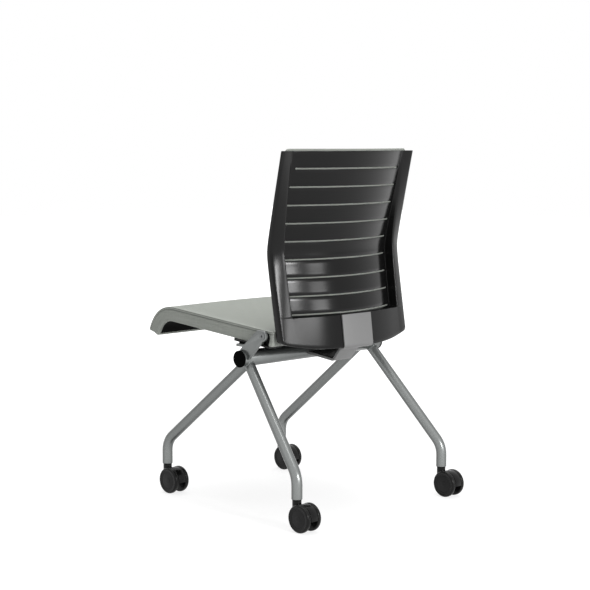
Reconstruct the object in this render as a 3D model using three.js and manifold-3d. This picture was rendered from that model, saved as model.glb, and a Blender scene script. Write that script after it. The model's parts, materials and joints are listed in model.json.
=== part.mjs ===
// A nesting chair: a cross tube with four bent legs on casters, a slotted back on a bent bar, and a seat
// that flips up on two pivots so that chairs roll into each other.
// Millimetres, +Z up. The chair faces -Y, and +X is the sitter's left. The wheels stand on Z = 0, and the
// origin is on the floor in the middle of the chair's outer box.

import * as THREE from 'three';
import { mergeVertices } from 'three/addons/utils/BufferGeometryUtils.js';
import Module from 'manifold-3d';

const wasm = await Module();
wasm.setup();

// Shared by all pieces: the gap between pieces that touch, and how far a cutter runs past its cut
const fitGap = 0.3;
const overrun = 6;

// The seat's half width, from which the frame and the back take theirs
const seatHalfWidth = 220;

// Cross tube and its end caps
const tubeRadius = 19.05;
const tubeWall = 2;
const tubeReach = 13.5;
const tubeHalfLength = seatHalfWidth + tubeReach;
const tubeY = 48;
const tubeZ = 362;
const capThickness = 3.5;
const capLip = 0.75;
const capPlugLength = 16;
const capPlugWall = 2;

// Legs: where each one aims on the cross tube, its corner, and the foot it stands on
const legRadius = 12.5;
const legWall = 1.6;
const legBendRadius = 70;
const legFootZ = 70.5;
const legAimForward = 4.6;
const frontLegTopInset = 46.5;
const frontLegFootInset = 35.7;
const frontLegFootY = -251.6;
const frontLegCornerZ = 125.5;
const rearLegTopInset = 24.9;
const rearLegSplay = 17.7;
const rearLegFootY = 250;
const rearLegCornerZ = 120.8;
const frontLegTopX = tubeHalfLength - frontLegTopInset;
const frontLegFootX = tubeHalfLength - frontLegFootInset;
const rearLegTopX = tubeHalfLength - rearLegTopInset;
const rearLegFootX = tubeHalfLength + rearLegSplay;

// Seat pivot, and the side plates that hold it
const pivotY = 117.5;
const pivotZ = 420.3;
const plateGap = 4;
const plateInnerX = seatHalfWidth + plateGap;
const plateThickness = 6;
const plateEyeRadius = 12.4;
const plateFrontLean = 17;
const plateRearLean = 24.8;
const plateWaistRise = 24;
const stopTabFrontY = 31;
const stopTabTopZ = 396;
const stopTabThickness = 6;
const stopTabReach = 21;
const stopTabInnerX = plateInnerX - stopTabReach;
const stopTabOverlap = 26;
const bumperInset = 1.5;

// Pivot screw, nut and washer
const pivotScrewRadius = 4;
const pivotHeadRadius = 8.8;
const pivotHeadHeight = 1.2;
const pivotSocketRadius = 2.4;
const pivotSocketDepth = 2;
const pivotNutRadius = 7;
const pivotNutHeight = 6;
const pivotWasherRadius = 9;
const pivotWasherThickness = 2;

// Back bar: a flat bar bent in the side view
const barThickness = 6;
const barHalfWidth = 49;
const barProud = 0.8;
const barArmHalfWidth = 30;
const barBendRadius = 7;
const barTopZ = 461;
const barHeelZ = 386;
const barKneeY = 172.3;
const barKneeZ = 378.7;
const barShoulderShare = 0.5;
const barToeY = 149.6;
const barToeZ = 350;
const blockHalfWidth = 27;
const blockFrontY = 82;
const blockStepY = 121;
const blockCrownY = 130;
const blockTopZ = 379;
const blockFrontHeight = 4;
const blockHeelHeight = 8;

// Back shell: the front edge of its sides as seen from the side, then its plan
const backTopZ = 839.3;
const backFootZ = 404;
const backFootDroop = 19;
const lumbarZ = 611;
const lumbarY = 115.5;
const backTopY = 168.3;
const backFootY = 147.5;
const lumbarEase = 19;
const shellTopFlare = 1.4;
const shellFootInset = 6;
const shellTopHalfWidth = seatHalfWidth + shellTopFlare;
const shellFootHalfWidth = seatHalfWidth - shellFootInset;
const shellWall = 4.5;
const shellTopSide = 9;
const shellFootSide = 18;
const ridgeTopInset = 30.4;
const ridgeFootInset = 35;
const ridgeTopX = shellTopHalfWidth - ridgeTopInset;
const ridgeFootX = shellFootHalfWidth - ridgeFootInset;
const ridgeDepth = 26;
const ridgeFadeZ = 825;
const ridgeFullZ = 600;
const ridgeWallRun = 5;
const panelSag = 44;
const bandTopZ = 461;
const bandLedgeRise = 1.5;
const bandTopSag = 31;
const bandFootSag = 29.3;
const slotHeight = 3.6;
const slotEndGap = 3;
const slotCount = 9;
const slotTopZ = 799.5;
const slotFootZ = 466;
const slotTopShortening = 10;
const slotHoleRadius = 3.4;
const panelLevelCount = 16;
const panelShares = [0.82, 0.56, 0.28];

// Back pad, in front of the shell
const padInset = 18;
const padHalfWidth = seatHalfWidth - padInset;
const padTopZ = 844.2;
const padFootZ = 456;
const padEdgeDepth = 15;
const padCrownDepth = 10;
const padSideTuck = 4;
const padEdgeRound = 9;

// Screws through the shell's lower band into the back bar
const backScrewRadius = 2.5;
const backScrewHeadRadius = 4.8;
const backScrewHeadHeight = 2.4;
const backScrewHalfSpacing = 24;
const backScrewLowZ = 404;
const backScrewHighZ = 432;
const backScrewBite = 5;

// Seat: a slab of even thickness with a nose that bends down, in the seat's own pitched frame at the pivot
const seatPitch = 5.12;
const seatTopRise = 12.2;
const seatThickness = 35;
const seatRear = 22.5;
const noseReach = 406.7;
const noseRun = 86.7;
const noseBulge = 18.7;
const noseStart = noseReach - noseRun;
const noseCorner = noseReach - noseBulge;
const noseDrop = 65.6;
const seatEdgeRound = 4;
const seatSeamDepth = 2;
const seatCrown = 4;
const seatSideTuck = 3;
const panThickness = 8;
const panInset = 10;
const panNoseGap = 2;
const hingeNotchRadius = 10;
const hingeNotchInset = 22;
const hingeNotchX = seatHalfWidth - hingeNotchInset;

// Seat brackets under the pan, with the hinge barrel
const bracketThickness = 4;
const bracketInset = 2;
const bracketWidth = 38;
const bracketOuterX = seatHalfWidth - bracketInset;
const bracketInnerX = bracketOuterX - bracketWidth;
const bracketFront = 104;
const bracketRear = 14;
const bracketLipDrop = 2.5;
const bracketLipLength = 16;
const barrelRadius = 7.8;
const barrelInset = 14;
const barrelInnerX = seatHalfWidth - barrelInset;
const webThickness = 4;
const webHalfWidth = 7.8;
const bracketScrewRadius = 2.5;
const bracketScrewHeadRadius = 4.6;
const bracketScrewHeadHeight = 2.4;
const bracketScrewSide = 11;
const bracketScrewX = bracketInnerX + bracketScrewSide;
const bracketScrewInset = 12;
const bracketScrewBite = 6;

// Casters
const wheelRadius = 31.75;
const wheelWidth = 11.3;
const wheelInnerX = 11.2;
const wheelEdge = 1.8;
const wheelRimInset = 5;
const wheelDish = 1.6;
const casterTrail = 24.3;
const axleRadius = 4;
const axleBite = 6.5;
const hoodHalfWidth = 10.4;
const hoodRadius = 31.2;
const hoodSkin = 2.6;
const hoodWebHalf = 2.4;
const hoodBossRadius = 8;
const hoodRearAngle = -6;
const hoodFrontAngle = 200;
const neckRadius = 10.5;
const neckFootZ = 38;
const socketRadius = 11.1;
const socketFlange = 1.8;
const socketLength = 21;
const stemRadius = 5.5;
const stemFootZ = 47;
const swivelGap = 0.5;

// How round the round pieces are
const tubeSides = 16;
const smallSides = 12;
const wheelSides = 24;
const bendSteps = 5;
const noseSteps = 7;

const degrees = THREE.MathUtils.degToRad;
const lerp = THREE.MathUtils.lerp;
const clamp = THREE.MathUtils.clamp;
const AXIS_X = new THREE.Vector3(1, 0, 0);
const AXIS_Y = new THREE.Vector3(0, 1, 0);
const AXIS_Z = new THREE.Vector3(0, 0, 1);

// Finishes
const finishes = {
  silver: new THREE.MeshStandardMaterial({ color: 0x8c9494, roughness: 0.35, metalness: 0.7 }),
  plate: new THREE.MeshStandardMaterial({ color: 0x979898, roughness: 0.45, metalness: 0.6 }),
  black: new THREE.MeshStandardMaterial({ color: 0x2b2b2b, roughness: 0.4, metalness: 0 }),
  wheel: new THREE.MeshStandardMaterial({ color: 0x1f1f1f, roughness: 0.45, metalness: 0 }),
  rubber: new THREE.MeshStandardMaterial({ color: 0x161616, roughness: 0.8, metalness: 0 }),
  fabric: new THREE.MeshStandardMaterial({ color: 0xa8aca4, roughness: 0.9, metalness: 0 }),
  steel: new THREE.MeshStandardMaterial({ color: 0xb5b7b9, roughness: 0.3, metalness: 1 }),
};

// Solids: three.js geometry in and out of the boolean library

function toSolid(geometry) {
  const bare = geometry.clone();
  for (const name of Object.keys(bare.attributes)) {
    if (name !== 'position') bare.deleteAttribute(name);
  }
  const merged = mergeVertices(bare);
  return new wasm.Manifold(new wasm.Mesh({
    numProp: 3,
    vertProperties: new Float32Array(merged.attributes.position.array),
    triVerts: new Uint32Array(merged.index.array),
  }));
}

function toGeometry(solid) {
  const mesh = solid.getMesh();
  const geometry = new THREE.BufferGeometry();
  geometry.setAttribute('position', new THREE.BufferAttribute(new Float32Array(mesh.vertProperties), 3));
  geometry.setIndex(new THREE.BufferAttribute(new Uint32Array(mesh.triVerts), 1));
  return geometry;
}

function cut(geometry, ...cutters) {
  const solid = cutters.reduce((rest, cutter) => rest.subtract(toSolid(cutter)), toSolid(geometry));
  return toGeometry(solid);
}

function join(first, ...others) {
  return toGeometry(others.reduce((whole, other) => whole.add(toSolid(other)), toSolid(first)));
}

// Mirrors a geometry from one side of the chair to the other and keeps its faces pointing out
function mirrored(geometry) {
  const copy = geometry.clone();
  copy.scale(-1, 1, 1);
  const order = copy.index ?? new THREE.BufferAttribute(
    Uint32Array.from({ length: copy.attributes.position.count }, (_, i) => i), 1);
  for (let i = 0; i < order.count; i += 3) {
    const second = order.getX(i + 1);
    order.setX(i + 1, order.getX(i + 2));
    order.setX(i + 2, second);
  }
  copy.setIndex(order);
  return copy;
}

// An outline in the side view (Y, Z) extruded along X
function sidePiece(outline, lowX, highX) {
  const shape = Array.isArray(outline) ? new THREE.Shape(outline) : outline;
  const piece = new THREE.ExtrudeGeometry(shape, {
    depth: highX - lowX, bevelEnabled: false, curveSegments: smallSides / 2,
  });
  piece.applyMatrix4(new THREE.Matrix4().makeBasis(AXIS_Y, AXIS_Z, AXIS_X));
  piece.translate(lowX, 0, 0);
  return piece;
}

// A rod along X, at a place in the side view
function rodX(radius, lowX, highX, y, z, sides = tubeSides) {
  const rod = new THREE.CylinderGeometry(radius, radius, highX - lowX, sides);
  rod.rotateZ(-Math.PI / 2);
  rod.translate((lowX + highX) / 2, y, z);
  return rod;
}

function rodZ(radius, lowZ, highZ, x, y, sides = smallSides) {
  const rod = new THREE.CylinderGeometry(radius, radius, highZ - lowZ, sides);
  rod.rotateX(Math.PI / 2);
  rod.translate(x, y, (lowZ + highZ) / 2);
  return rod;
}

function block(lowX, highX, lowY, highY, lowZ, highZ) {
  const box = new THREE.BoxGeometry(highX - lowX, highY - lowY, highZ - lowZ);
  box.translate((lowX + highX) / 2, (lowY + highY) / 2, (lowZ + highZ) / 2);
  return box;
}

// A profile of [radius, height] turned about its axis, which is then laid along X or left up along Z
function turned(profile, sides, axis) {
  const lathe = new THREE.LatheGeometry(profile.map(([r, h]) => new THREE.Vector2(r, h)), sides);
  if (axis === 'x') lathe.rotateZ(-Math.PI / 2);
  else lathe.rotateX(Math.PI / 2);
  return lathe;
}

// A route with its corners rounded: straight runs between short curves
function bentRoute(corners, radius) {
  const route = [corners[0]];
  for (let i = 1; i < corners.length - 1; i++) {
    const back = corners[i - 1].clone().sub(corners[i]).normalize();
    const ahead = corners[i + 1].clone().sub(corners[i]).normalize();
    const turn = Math.PI - back.angleTo(ahead);
    const reach = radius * Math.tan(turn / 2);
    const bend = new THREE.QuadraticBezierCurve3(
      corners[i].clone().addScaledVector(back, reach), corners[i],
      corners[i].clone().addScaledVector(ahead, reach));
    route.push(...bend.getPoints(bendSteps));
  }
  return [...route, corners[corners.length - 1]];
}

// A curve that an extrusion steps along point by point
class StepCurve extends THREE.Curve {
  constructor(points) {
    super();
    this.points = points;
  }

  getPointAt(share) {
    return this.points[Math.round(share * (this.points.length - 1))].clone();
  }

  getTangentAt(share) {
    const last = this.points.length - 1;
    const i = Math.round(share * last);
    const before = this.points[Math.max(i - 1, 0)];
    const after = this.points[Math.min(i + 1, last)];
    const here = this.points[i];
    const arriving = i > 0 ? here.clone().sub(before).normalize() : new THREE.Vector3();
    const leaving = i < last ? after.clone().sub(here).normalize() : new THREE.Vector3();
    return arriving.add(leaving).normalize();
  }
}

function ringShape(outer, inner) {
  const shape = new THREE.Shape().absarc(0, 0, outer, 0, 2 * Math.PI, false);
  shape.holes.push(new THREE.Path().absarc(0, 0, inner, 0, 2 * Math.PI, true));
  return shape;
}

function bentTube(corners, bendRadius, outer, inner) {
  const points = bentRoute(corners, bendRadius);
  return new THREE.ExtrudeGeometry(ringShape(outer, inner), {
    steps: points.length - 1, extrudePath: new StepCurve(points), curveSegments: tubeSides / 2,
    bevelEnabled: false,
  });
}

// The outline of a flat bar of even thickness that follows a route in the side view
function barOutline(corners, thickness, radius) {
  const points = bentRoute(corners.map(([y, z]) => new THREE.Vector3(0, y, z)), radius);
  const curve = new StepCurve(points);
  const sides = [thickness / 2, -thickness / 2].map((offset) => points.map((point, i) => {
    const along = curve.getTangentAt(i / (points.length - 1));
    return new THREE.Vector2(point.y - offset * along.z, point.z + offset * along.y);
  }));
  return [...sides[0], ...sides[1].reverse()];
}

// A closed solid through rows of points. Each row is a ring whose second half runs back beside its first,
// so that the two ends close with a strip of quads.
function loft(rows) {
  const ring = rows[0].length;
  const half = ring / 2;
  const positions = rows.flat().flatMap((point) => [point.x, point.y, point.z]);
  const faces = [];
  const quad = (a, b, c, d) => faces.push(a, c, b, a, d, c);
  for (let row = 0; row < rows.length - 1; row++) {
    for (let i = 0; i < ring; i++) {
      const next = (i + 1) % ring;
      quad(row * ring + i, row * ring + next, (row + 1) * ring + next, (row + 1) * ring + i);
    }
  }
  const last = (rows.length - 1) * ring;
  for (let i = 0; i < half - 1; i++) {
    quad(i + 1, i, ring - 1 - i, ring - 2 - i);
    quad(last + i, last + i + 1, last + ring - 2 - i, last + ring - 1 - i);
  }
  const geometry = new THREE.BufferGeometry();
  geometry.setAttribute('position', new THREE.Float32BufferAttribute(positions, 3));
  geometry.setIndex(faces);
  return geometry;
}

function named(name, geometry, finish) {
  const mesh = new THREE.Mesh(geometry, finishes[finish]);
  mesh.name = name;
  return mesh;
}

const chair = new THREE.Group();

// Cross tube: open at both ends, each closed by a cap with a hollow plug

const capRadius = tubeRadius + capLip;
const tubeInner = tubeRadius - tubeWall;

function makeCrossTube() {
  return turned([
    [tubeInner, -tubeHalfLength], [tubeRadius, -tubeHalfLength], [tubeRadius, tubeHalfLength],
    [tubeInner, tubeHalfLength], [tubeInner, -tubeHalfLength],
  ], tubeSides * 2, 'x').translate(0, tubeY, tubeZ);
}

function makeTubeCap() {
  const plug = tubeInner - fitGap;
  const face = tubeHalfLength + fitGap;
  return turned([
    [0, face], [plug - capPlugWall, face], [plug - capPlugWall, face - capPlugLength],
    [plug, face - capPlugLength], [plug, face], [capRadius, face],
    [capRadius, face + capThickness - capLip], [capRadius - capLip, face + capThickness],
    [0, face + capThickness],
  ], tubeSides * 2, 'x').translate(0, tubeY, tubeZ);
}

// The tube as a cutter: what is welded to it ends a fit gap away from it
function tubeCutter() {
  const reach = tubeHalfLength + overrun;
  return rodX(tubeRadius + fitGap, -reach, reach, tubeY, tubeZ, tubeSides * 2);
}

function makeLeg(topX, footX, footY, cornerZ) {
  const corners = [
    new THREE.Vector3(topX, tubeY - legAimForward, tubeZ),
    new THREE.Vector3(footX, footY, cornerZ),
    new THREE.Vector3(footX, footY, legFootZ),
  ];
  const tube = bentTube(corners, legBendRadius, legRadius, legRadius - legWall);
  return cut(tube, tubeCutter());
}

// Side plate: it rises from the tube to the pivot eye, with a tab bent inwards under the seat

function sidePlateOutline() {
  const outline = new THREE.Shape();
  outline.moveTo(tubeY, tubeZ);
  outline.lineTo(tubeY + plateRearLean, tubeZ);
  outline.absarc(pivotY, pivotZ, plateEyeRadius, -Math.PI / 2, Math.PI / 2, false);
  outline.lineTo(pivotY - plateFrontLean, pivotZ + plateEyeRadius);
  outline.lineTo(tubeY + plateWaistRise, stopTabTopZ + plateEyeRadius);
  outline.lineTo(stopTabFrontY + stopTabOverlap, stopTabTopZ);
  outline.lineTo(stopTabFrontY + stopTabOverlap - stopTabThickness, stopTabTopZ - stopTabThickness);
  outline.lineTo(tubeY - plateThickness, tubeZ + tubeRadius);
  return outline;
}

const plateOuterX = plateInnerX + plateThickness;

function makeSidePlate() {
  const plate = sidePiece(sidePlateOutline(), plateInnerX, plateOuterX);
  const tab = block(stopTabInnerX, plateOuterX, stopTabFrontY, stopTabFrontY + stopTabOverlap,
    stopTabTopZ - stopTabThickness, stopTabTopZ);
  const hole = rodX(pivotScrewRadius + fitGap, plateInnerX - overrun, plateOuterX + overrun,
    pivotY, pivotZ, smallSides);
  return cut(join(plate, tab), tubeCutter(), hole);
}

// Pivot screw, nut, washer and stop bumper

const washerInnerX = plateInnerX - fitGap - pivotWasherThickness;
const barrelOuterX = washerInnerX - fitGap;
const nutInnerX = barrelInnerX - fitGap - pivotNutHeight;

function makePivotScrew() {
  const seat = plateOuterX + fitGap;
  const crown = seat + pivotHeadHeight;
  return turned([
    [0, nutInnerX], [pivotScrewRadius, nutInnerX], [pivotScrewRadius, seat], [pivotHeadRadius, seat],
    [pivotHeadRadius, crown - pivotHeadHeight / 2], [pivotHeadRadius - pivotHeadHeight / 2, crown],
    [pivotSocketRadius, crown], [pivotSocketRadius, crown - pivotSocketDepth],
    [0, crown - pivotSocketDepth],
  ], smallSides, 'x').translate(0, pivotY, pivotZ);
}

// A flat ring about the pivot
function pivotRing(outerSides, outer, lowX, highX) {
  const hole = rodX(pivotScrewRadius + fitGap, lowX - overrun, highX + overrun, pivotY, pivotZ, smallSides);
  return cut(rodX(outer, lowX, highX, pivotY, pivotZ, outerSides), hole);
}

function makePivotWasher() {
  return pivotRing(tubeSides, pivotWasherRadius, washerInnerX, washerInnerX + pivotWasherThickness);
}

function makePivotNut() {
  return pivotRing(6, pivotNutRadius, nutInnerX, nutInnerX + pivotNutHeight);
}

const seatTilt = degrees(seatPitch);

// The height, at a place along Y, of a plane that lies parallel to the seat in the seat's own frame
function seatPlaneZ(y, localZ) {
  return pivotZ - (y - pivotY) * Math.tan(seatTilt) + localZ / Math.cos(seatTilt);
}

const panFootZ = seatTopRise - seatThickness;
const bracketTopZ = panFootZ - fitGap;
const bracketFootZ = bracketTopZ - bracketThickness;

// The bumper lies on the tab, and its top follows the slope of the bracket that rests on it
function makeStopBumper() {
  const front = stopTabFrontY + bumperInset;
  const rear = stopTabFrontY + stopTabOverlap - bumperInset;
  const foot = stopTabTopZ + fitGap;
  const top = (y) => seatPlaneZ(y, bracketFootZ) - fitGap;
  return sidePiece([
    new THREE.Vector2(front, foot), new THREE.Vector2(rear, foot),
    new THREE.Vector2(rear, top(rear)), new THREE.Vector2(front, top(front)),
  ], stopTabInnerX + bumperInset, plateInnerX - bumperInset);
}

// Back shell. Each level gives the front edge of its sides, and everything else is set out from there.

function levelShare(z) {
  return (z - backFootZ) / (backTopZ - backFootZ);
}

function edgeY(z) {
  const topSlope = (backTopY - lumbarY) / (backTopZ - lumbarZ);
  const footSlope = (backFootY - lumbarY) / (lumbarZ - backFootZ);
  const rise = z - lumbarZ;
  return lumbarY + rise * (topSlope - footSlope) / 2
    + Math.hypot(rise, lumbarEase) * (topSlope + footSlope) / 2;
}

function ridgeX(z) {
  return lerp(ridgeFootX, ridgeTopX, levelShare(z));
}

function panelX(z) {
  return ridgeX(z) - ridgeWallRun;
}

function ridgeProud(z) {
  const share = clamp((ridgeFadeZ - z) / (ridgeFadeZ - ridgeFullZ), 0, 1);
  return lerp(shellWall, ridgeDepth, share);
}

function panelFrontY(x, z) {
  const share = Math.min(Math.abs(x) / panelX(z), 1);
  return edgeY(z) + panelSag * (1 - share * share);
}

function bandRearY(x, z) {
  const share = x / ridgeX(z);
  const sag = lerp(bandFootSag, bandTopSag, (z - backFootZ) / (bandTopZ - backFootZ));
  return edgeY(z) + ridgeDepth + sag * (1 - share * share);
}

function shellHalfWidth(z) {
  return lerp(shellFootHalfWidth, shellTopHalfWidth, levelShare(z));
}

// Columns across the back at a level, from left to right: edge, ridge, panel edge and the panel's own
function columnsAt(z, edge) {
  const half = [edge, ridgeX(z), panelX(z), ...panelShares.map((share) => share * panelX(z))];
  return [...half.map((x) => -x), 0, ...half.reverse()];
}

function shellRear(x, z, inBand) {
  const reach = Math.abs(x);
  if (reach > ridgeX(z)) return edgeY(z) + lerp(shellFootSide, shellTopSide, levelShare(z));
  if (inBand) return bandRearY(x, z);
  if (reach > panelX(z)) return edgeY(z) + ridgeProud(z);
  return panelFrontY(x, z) + shellWall;
}

// A ring of points round the shell at one level. The lower band's foot droops towards the middle.
function shellRing(level, inBand) {
  const columns = columnsAt(level, shellHalfWidth(level));
  const place = (x) => {
    if (!inBand) return level;
    const share = Math.abs(x) / shellHalfWidth(level);
    const foot = backFootZ - backFootDroop * (1 - share ** 3);
    return lerp(foot, bandTopZ, (level - backFootZ) / (bandTopZ - backFootZ));
  };
  const rear = columns.map((x) => new THREE.Vector3(x, shellRear(x, level, inBand)
    + edgeY(place(x)) - edgeY(level), place(x)));
  const front = columns.map((x) => new THREE.Vector3(x, panelFrontY(x, level)
    + edgeY(place(x)) - edgeY(level), place(x)));
  return [...rear, ...front.reverse()];
}

const panelFootZ = bandTopZ + bandLedgeRise;
const panelLevels = Array.from({ length: panelLevelCount + 1 },
  (_, i) => lerp(panelFootZ, backTopZ, i / panelLevelCount));
const bandLevels = Array.from({ length: 4 }, (_, i) => lerp(backFootZ, bandTopZ, i / 3));

function slotZ(i) {
  return lerp(slotTopZ, slotFootZ, i / (slotCount - 1));
}

function slotHalfLength(i) {
  return panelX(slotZ(i)) - slotEndGap - (i === 0 ? slotTopShortening : 0);
}

function slotCutters() {
  const cutters = [];
  for (let i = 0; i < slotCount; i++) {
    const z = slotZ(i);
    const half = slotHalfLength(i);
    cutters.push(block(-half, half, edgeY(z) - overrun, edgeY(z) + panelSag + shellWall + overrun,
      z - slotHeight / 2, z + slotHeight / 2));
  }
  for (const side of [-1, 1]) {
    const z = slotZ(0);
    const hole = new THREE.CylinderGeometry(slotHoleRadius, slotHoleRadius, panelSag, smallSides);
    cutters.push(hole.translate(side * slotHalfLength(0), edgeY(z), z));
  }
  return cutters;
}

// The back bar's upright lies in a recess of the shell's lower band and stands a little proud of it
function barY(z) {
  return bandRearY(0, z) + barProud - barThickness / 2;
}

const barLean = Math.atan2(barY(barHeelZ) - barY(barTopZ), barTopZ - barHeelZ);

// The bar's bend points in the side view, down its upright and forward under the seat
function barCorners(topZ, ...under) {
  return [[barY(topZ), topZ], [barY(barHeelZ), barHeelZ], ...under];
}

// Lays a screw square to the bar's upright, with its profile's heights measured forward from mid bar
const backScrewPlaces = [-1, 1].flatMap((side) => [backScrewLowZ, backScrewHighZ]
  .map((z) => [side * backScrewHalfSpacing, z]));
const backScrewBearing = barY(backScrewLowZ) - panelFrontY(backScrewHalfSpacing, backScrewLowZ)
  - backScrewHeadHeight;

function backScrew([x, z], grow, headTop) {
  const tip = barThickness / 2 - backScrewBite - grow;
  const bearing = backScrewBearing - grow;
  const profile = [
    [0, tip], [backScrewRadius + grow, tip], [backScrewRadius + grow, bearing],
    [backScrewHeadRadius + grow, bearing], [backScrewHeadRadius + grow, headTop], [0, headTop],
  ];
  const screw = new THREE.LatheGeometry(profile.map(([r, h]) => new THREE.Vector2(r, h)), smallSides);
  screw.rotateX(Math.PI + barLean);
  return screw.translate(x, barY(z), z);
}

function makeBackScrew(place) {
  return backScrew(place, 0, backScrewBearing + backScrewHeadHeight);
}

function backScrewCutters() {
  return backScrewPlaces.map((place) => backScrew(place, fitGap, backScrewBearing + overrun));
}

// The recess in the lower band for the back bar: open behind, and open below where the bar turns forward
function backBarRoom() {
  const half = barThickness / 2 + fitGap;
  const front = (z) => barY(z) - half;
  const high = barTopZ + overrun;
  const bend = barHeelZ + half + barBendRadius;
  const foot = barKneeZ - barThickness;
  return sidePiece([
    new THREE.Vector2(front(high), high), new THREE.Vector2(front(bend), bend),
    new THREE.Vector2(front(bend) - barBendRadius, bend - barBendRadius),
    new THREE.Vector2(barKneeY, barKneeZ + half), new THREE.Vector2(barKneeY, foot),
    new THREE.Vector2(barY(foot) + barThickness, foot), new THREE.Vector2(barY(high) + barThickness, high),
  ], -barHalfWidth - fitGap, barHalfWidth + fitGap);
}

function makeBackShell() {
  const rows = [
    ...bandLevels.map((level) => shellRing(level, true)),
    ...panelLevels.map((level) => shellRing(level, false)),
  ];
  return cut(loft(rows), backBarRoom(), ...slotCutters(), ...backScrewCutters());
}

// Back pad: it lies on the shell's front, thicker in the middle, with its edges drawn in

function padHalf(z) {
  const share = (z - padFootZ) / (padTopZ - padFootZ);
  return padHalfWidth - padSideTuck * Math.sin(Math.PI * share);
}

function padRing(z, edgeIn, depthShare) {
  const half = padHalf(z) - edgeIn;
  const shape = Math.min(z, backTopZ);
  const inner = [panelX(shape), ...panelShares.map((share) => share * panelX(shape))];
  const columns = [-half, ...inner.map((x) => -x), 0, ...inner.reverse(), half];
  const rise = clamp((z - padFootZ) / (padTopZ - padFootZ), 0, 1);
  const rear = columns.map((x) => new THREE.Vector3(x, panelFrontY(x, z) - fitGap, z));
  const front = columns.map((x) => {
    const across = 1 - (x / padHalfWidth) ** 2;
    const crown = padCrownDepth * across * Math.sin(Math.PI * rise) ** 0.5;
    const inset = Math.sign(x) * (Math.abs(x) === half ? padEdgeRound / 2 : 0);
    return new THREE.Vector3(x - inset, panelFrontY(x, z) - fitGap - depthShare * (padEdgeDepth + crown), z);
  });
  return [...rear, ...front.reverse()];
}

function makeBackPad() {
  const low = padFootZ + padEdgeRound;
  const high = padTopZ - padEdgeRound;
  const middle = panelLevels.filter((z) => z > low && z < high);
  return loft([
    padRing(padFootZ, padEdgeRound, 0.5), padRing(low, 0, 1),
    ...middle.map((z) => padRing(z, 0, 1)),
    padRing(high, 0, 1), padRing(padTopZ, padEdgeRound, 0.5),
  ]);
}

// Back bar: wide up the back, narrower from its shoulder under the seat to the cross tube

function makeBackBar() {
  const shoulder = [lerp(barY(barHeelZ), barKneeY, barShoulderShare),
    lerp(barHeelZ, barKneeZ, barShoulderShare)];
  const upright = sidePiece(barOutline(barCorners(barTopZ, shoulder), barThickness, barBendRadius),
    -barHalfWidth, barHalfWidth);
  const arm = sidePiece(barOutline(
    barCorners(barTopZ, [barKneeY, barKneeZ], [barToeY, barToeZ], [tubeY, tubeZ]),
    barThickness, barBendRadius), -barArmHalfWidth, barArmHalfWidth);
  return cut(join(upright, arm), tubeCutter(), ...backScrewCutters());
}

// Rubber block in the V of the bar
function makeBackBarBlock() {
  const lowSlope = (tubeZ - barToeZ) / (barToeY - tubeY);
  const half = barThickness / 2 + fitGap;
  const armTop = (y) => barToeZ + (barToeY - y) * lowSlope + half * Math.hypot(1, lowSlope);
  const limbRun = (barKneeY - barToeY) / (barKneeZ - barToeZ);
  const limbFace = (z) => barToeY + (z - barToeZ) * limbRun - half * Math.hypot(1, limbRun);
  const heelZ = barToeZ + barThickness / 2 + blockHeelHeight;
  const shoulderZ = blockTopZ - blockFrontHeight;
  return sidePiece([
    new THREE.Vector2(blockFrontY, armTop(blockFrontY)),
    new THREE.Vector2(barToeY - blockHeelHeight, armTop(barToeY - blockHeelHeight)),
    new THREE.Vector2(limbFace(heelZ), heelZ),
    new THREE.Vector2(limbFace(shoulderZ), shoulderZ),
    new THREE.Vector2(limbFace(shoulderZ) - blockFrontHeight, blockTopZ),
    new THREE.Vector2(blockCrownY, blockTopZ),
    new THREE.Vector2(blockStepY, blockTopZ - blockHeelHeight),
    new THREE.Vector2(blockFrontY, armTop(blockFrontY) + blockFrontHeight),
  ], -blockHalfWidth, blockHalfWidth);
}

// Seat, in its own frame: origin on the pivot, -Y along the seat to the nose, +Z out of its top

const noseCurve = new THREE.QuadraticBezierCurve3(
  new THREE.Vector3(0, -noseStart, seatTopRise), new THREE.Vector3(0, -noseCorner, seatTopRise),
  new THREE.Vector3(0, -noseReach, seatTopRise - noseDrop));
const seatFlatShares = [0.06, 0.3, 0.6, 0.85];

// Stations along the seat's top line: each has its place, the way in, and a share from rear to nose
function seatStations(rearY, noseShare) {
  const flat = [0, ...seatFlatShares].map((share) => ({
    top: new THREE.Vector3(0, lerp(rearY, -noseStart, share), seatTopRise),
    along: new THREE.Vector3(0, -1, 0),
    crown: 1,
  }));
  const nose = Array.from({ length: noseSteps + 1 }, (_, i) => {
    const share = noseShare * i / noseSteps;
    return { top: noseCurve.getPoint(share), along: noseCurve.getTangent(share), crown: 1 - i / noseSteps };
  });
  return [...flat, ...nose];
}

function seatPoint(station, x, depth) {
  const into = new THREE.Vector3().crossVectors(AXIS_X, station.along);
  return station.top.clone().addScaledVector(into, depth).setX(x);
}

const seatShares = [0.93, 0.55];

// A ring round the slab: the crowned top, the sides drawn in at their middle, and the flat underside
function seatRing(station, edgeIn) {
  const half = seatHalfWidth - edgeIn;
  const waist = half - seatSideTuck;
  const inner = [...seatShares.map((share) => -share), 0, ...[...seatShares].reverse()];
  const crown = (share) => edgeIn - seatCrown * station.crown * (1 - share * share);
  const top = [
    seatPoint(station, -waist, seatThickness / 2), seatPoint(station, -half, edgeIn + seatSeamDepth),
    ...inner.map((share) => seatPoint(station, share * half, crown(share))),
    seatPoint(station, half, edgeIn + seatSeamDepth), seatPoint(station, waist, seatThickness / 2),
  ];
  const foot = [half, waist, ...inner.map((share) => -share * half), -waist, -half];
  return [...top, ...foot.map((x) => seatPoint(station, x, seatThickness - edgeIn))];
}

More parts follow.
